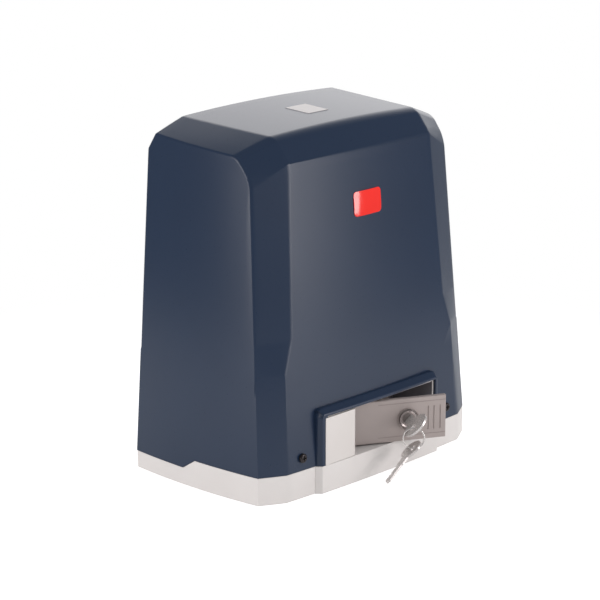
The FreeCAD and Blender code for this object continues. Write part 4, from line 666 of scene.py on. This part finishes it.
# the bulge round the release pocket: rounded shoulders, then a 45 degree edge all round its front;
# its cheeks lean in with height and its front is slightly crowned
bulge = block("bulge", (-bulge_x, bulge_front_y, -2), (bulge_x, bulge_root_y, bulge_z))
only(bulge)
bpy.ops.object.mode_set(mode="EDIT")
edit(bulge, lambda e: all(v.co.z > 0.06 for v in e.verts) and abs(e.verts[0].co.x - e.verts[1].co.x) < 1e-6, "EDGE")
bpy.ops.mesh.bevel(offset=bulge_shoulder * MM, segments=5, affect="EDGES")
edit(bulge, lambda e: all(v.co.y < -0.083 and v.co.z > 0 for v in e.verts) or
     (all(v.co.y < -0.083 for v in e.verts) and abs(e.verts[0].co.x - e.verts[1].co.x) < 1e-6), "EDGE")
bpy.ops.mesh.bevel(offset=bulge_bevel * MM, segments=1, affect="EDGES")
bpy.ops.object.mode_set(mode="OBJECT")
mesh_grid(bulge, range(-60, 61, 12), (), ())
for vertex in bulge.data.vertices:
    if abs(vertex.co.x) > 0.069 and vertex.co.z > 0.02:
        vertex.co.x -= math.copysign(bulge_taper * MM * (vertex.co.z - 0.02) / 0.04, vertex.co.x)
    if vertex.co.y < -0.0834:
        vertex.co.y -= bulge_crown * MM * (1 - (vertex.co.x / 0.0673) ** 2)
round_edges(bulge, lambda e: 1.0 if math.radians(25) < e.calc_face_angle(0) and e.verts[0].co.y < -0.07
            and e.verts[1].co.y < -0.07 and max(v.co.z for v in e.verts) > 0 else 0.0, 0.8, 2)
cut_with(shell, bulge, "UNION")
# the inside keeps flat faces: this wall is 3 mm at the corners, 4.4 to 7 mm mid-face, and meets the base's posts
inner = tower_body("inner", cover_wall)
cut_with(shell, inner, "DIFFERENCE")
# the opening; its rounded upper left corner runs into the pocket's frame behind it
opening = block("opening", (-recess_x, -90, -6), (recess_x, bulge_root_y, recess_z))
only(opening)
bpy.ops.object.mode_set(mode="EDIT")
edit(opening, lambda e: all(v.co.z > 0.06 and v.co.x < 0 for v in e.verts), "EDGE")
bpy.ops.mesh.bevel(offset=4.0 * MM, segments=6, affect="EDGES")
bpy.ops.object.mode_set(mode="OBJECT")
cut_with(shell, opening, "DIFFERENCE")
cut_with(shell, block("window", (-10.5, 60, 144), (10.5, 90, 156)), "DIFFERENCE")

# everything below the seam, which drops by a 45 degree step near the middle of the sides
seam = block("seam", (-150, -150, -20), (150, 150, seam_rear_z))
only(seam)
bpy.ops.object.mode_set(mode="EDIT")
slice_at((0, 8.8, 0), (0, 1, 0))
slice_at((0, -4.0, 0), (0, 1, 0))
edit(seam, lambda v: v.co.z > 0.01 and v.co.y < -0.0039)
bpy.ops.transform.translate(value=(0, 0, seam_step * MM))
bpy.ops.object.mode_set(mode="OBJECT")
cut_with(shell, seam, "DIFFERENCE")

# the notch round the shaft boss, open downwards
only(None)
bpy.ops.mesh.primitive_cylinder_add(vertices=96, radius=notch_radius * MM, depth=80 * MM,
                                    location=(0, 83 * MM, shaft_z * MM), rotation=(math.pi / 2, 0, 0))
notch = bpy.context.object
bpy.ops.object.transform_apply(location=True, rotation=True, scale=True)
cut_with(notch, block("notch_foot", (-notch_radius, 43, -5), (notch_radius, 123, shaft_z)), "UNION")
cut_with(shell, notch, "DIFFERENCE")
screw_x, screw_z, screw_hole = 84, 31.5, 2.1
for sign in (-1, 1):
    only(None)
    bpy.ops.mesh.primitive_cylinder_add(vertices=32, radius=screw_hole * MM, depth=40 * MM,
                                        location=(sign * screw_x * MM, -70 * MM, screw_z * MM),
                                        rotation=(math.pi / 2, 0, 0))
    drill = bpy.context.object
    bpy.ops.object.transform_apply(location=True, rotation=True, scale=True)
    cut_with(shell, drill, "DIFFERENCE")
only(shell)
bpy.ops.object.shade_smooth_by_angle(angle=math.radians(28))
even = shell.modifiers.new("even", "WEIGHTED_NORMAL")
even.keep_sharp = True
bpy.ops.object.modifier_apply(modifier="even")
# deep blue with very broad faint patches and a fine eroded grain that blurs its reflections
navy = finish("navy_abs", "#213047", "#1e2c42", 0.29, patch_mm=60, grain_mm=0.9, grain_depth=0.12,
              Specular_IOR_Level=0.45)
shell.data.materials.clear()
shell.data.materials.append(navy)
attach(shell, "base")
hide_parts("cover")


# ---- Cover trim ----
# Black oxide screws, a plain red resin dome and a blank white label.

# dark satin steel
coat(finish("black_oxide", "#3d393a", "#454142", 0.3, metallic=0.8, grain_mm=0.6), "cover_screws")
# strong red under a clear coat that mirrors the lamps
red = finish("red_resin", "#f03028", "#ea2c25", 0.12, patch_mm=20, grain_mm=2.0, grain_depth=0.02, Coat_Weight=1.0,
             Coat_Roughness=0.05)
softened("cover_badge", "red_dome", 0.5, "base", red, degrees=30, segments=3)
# plain matt off-white
coat(finish("label_film", "#d5d1d1", "#cfcbcb", 0.6, grain_mm=2.0, grain_depth=0.02), "top_label")
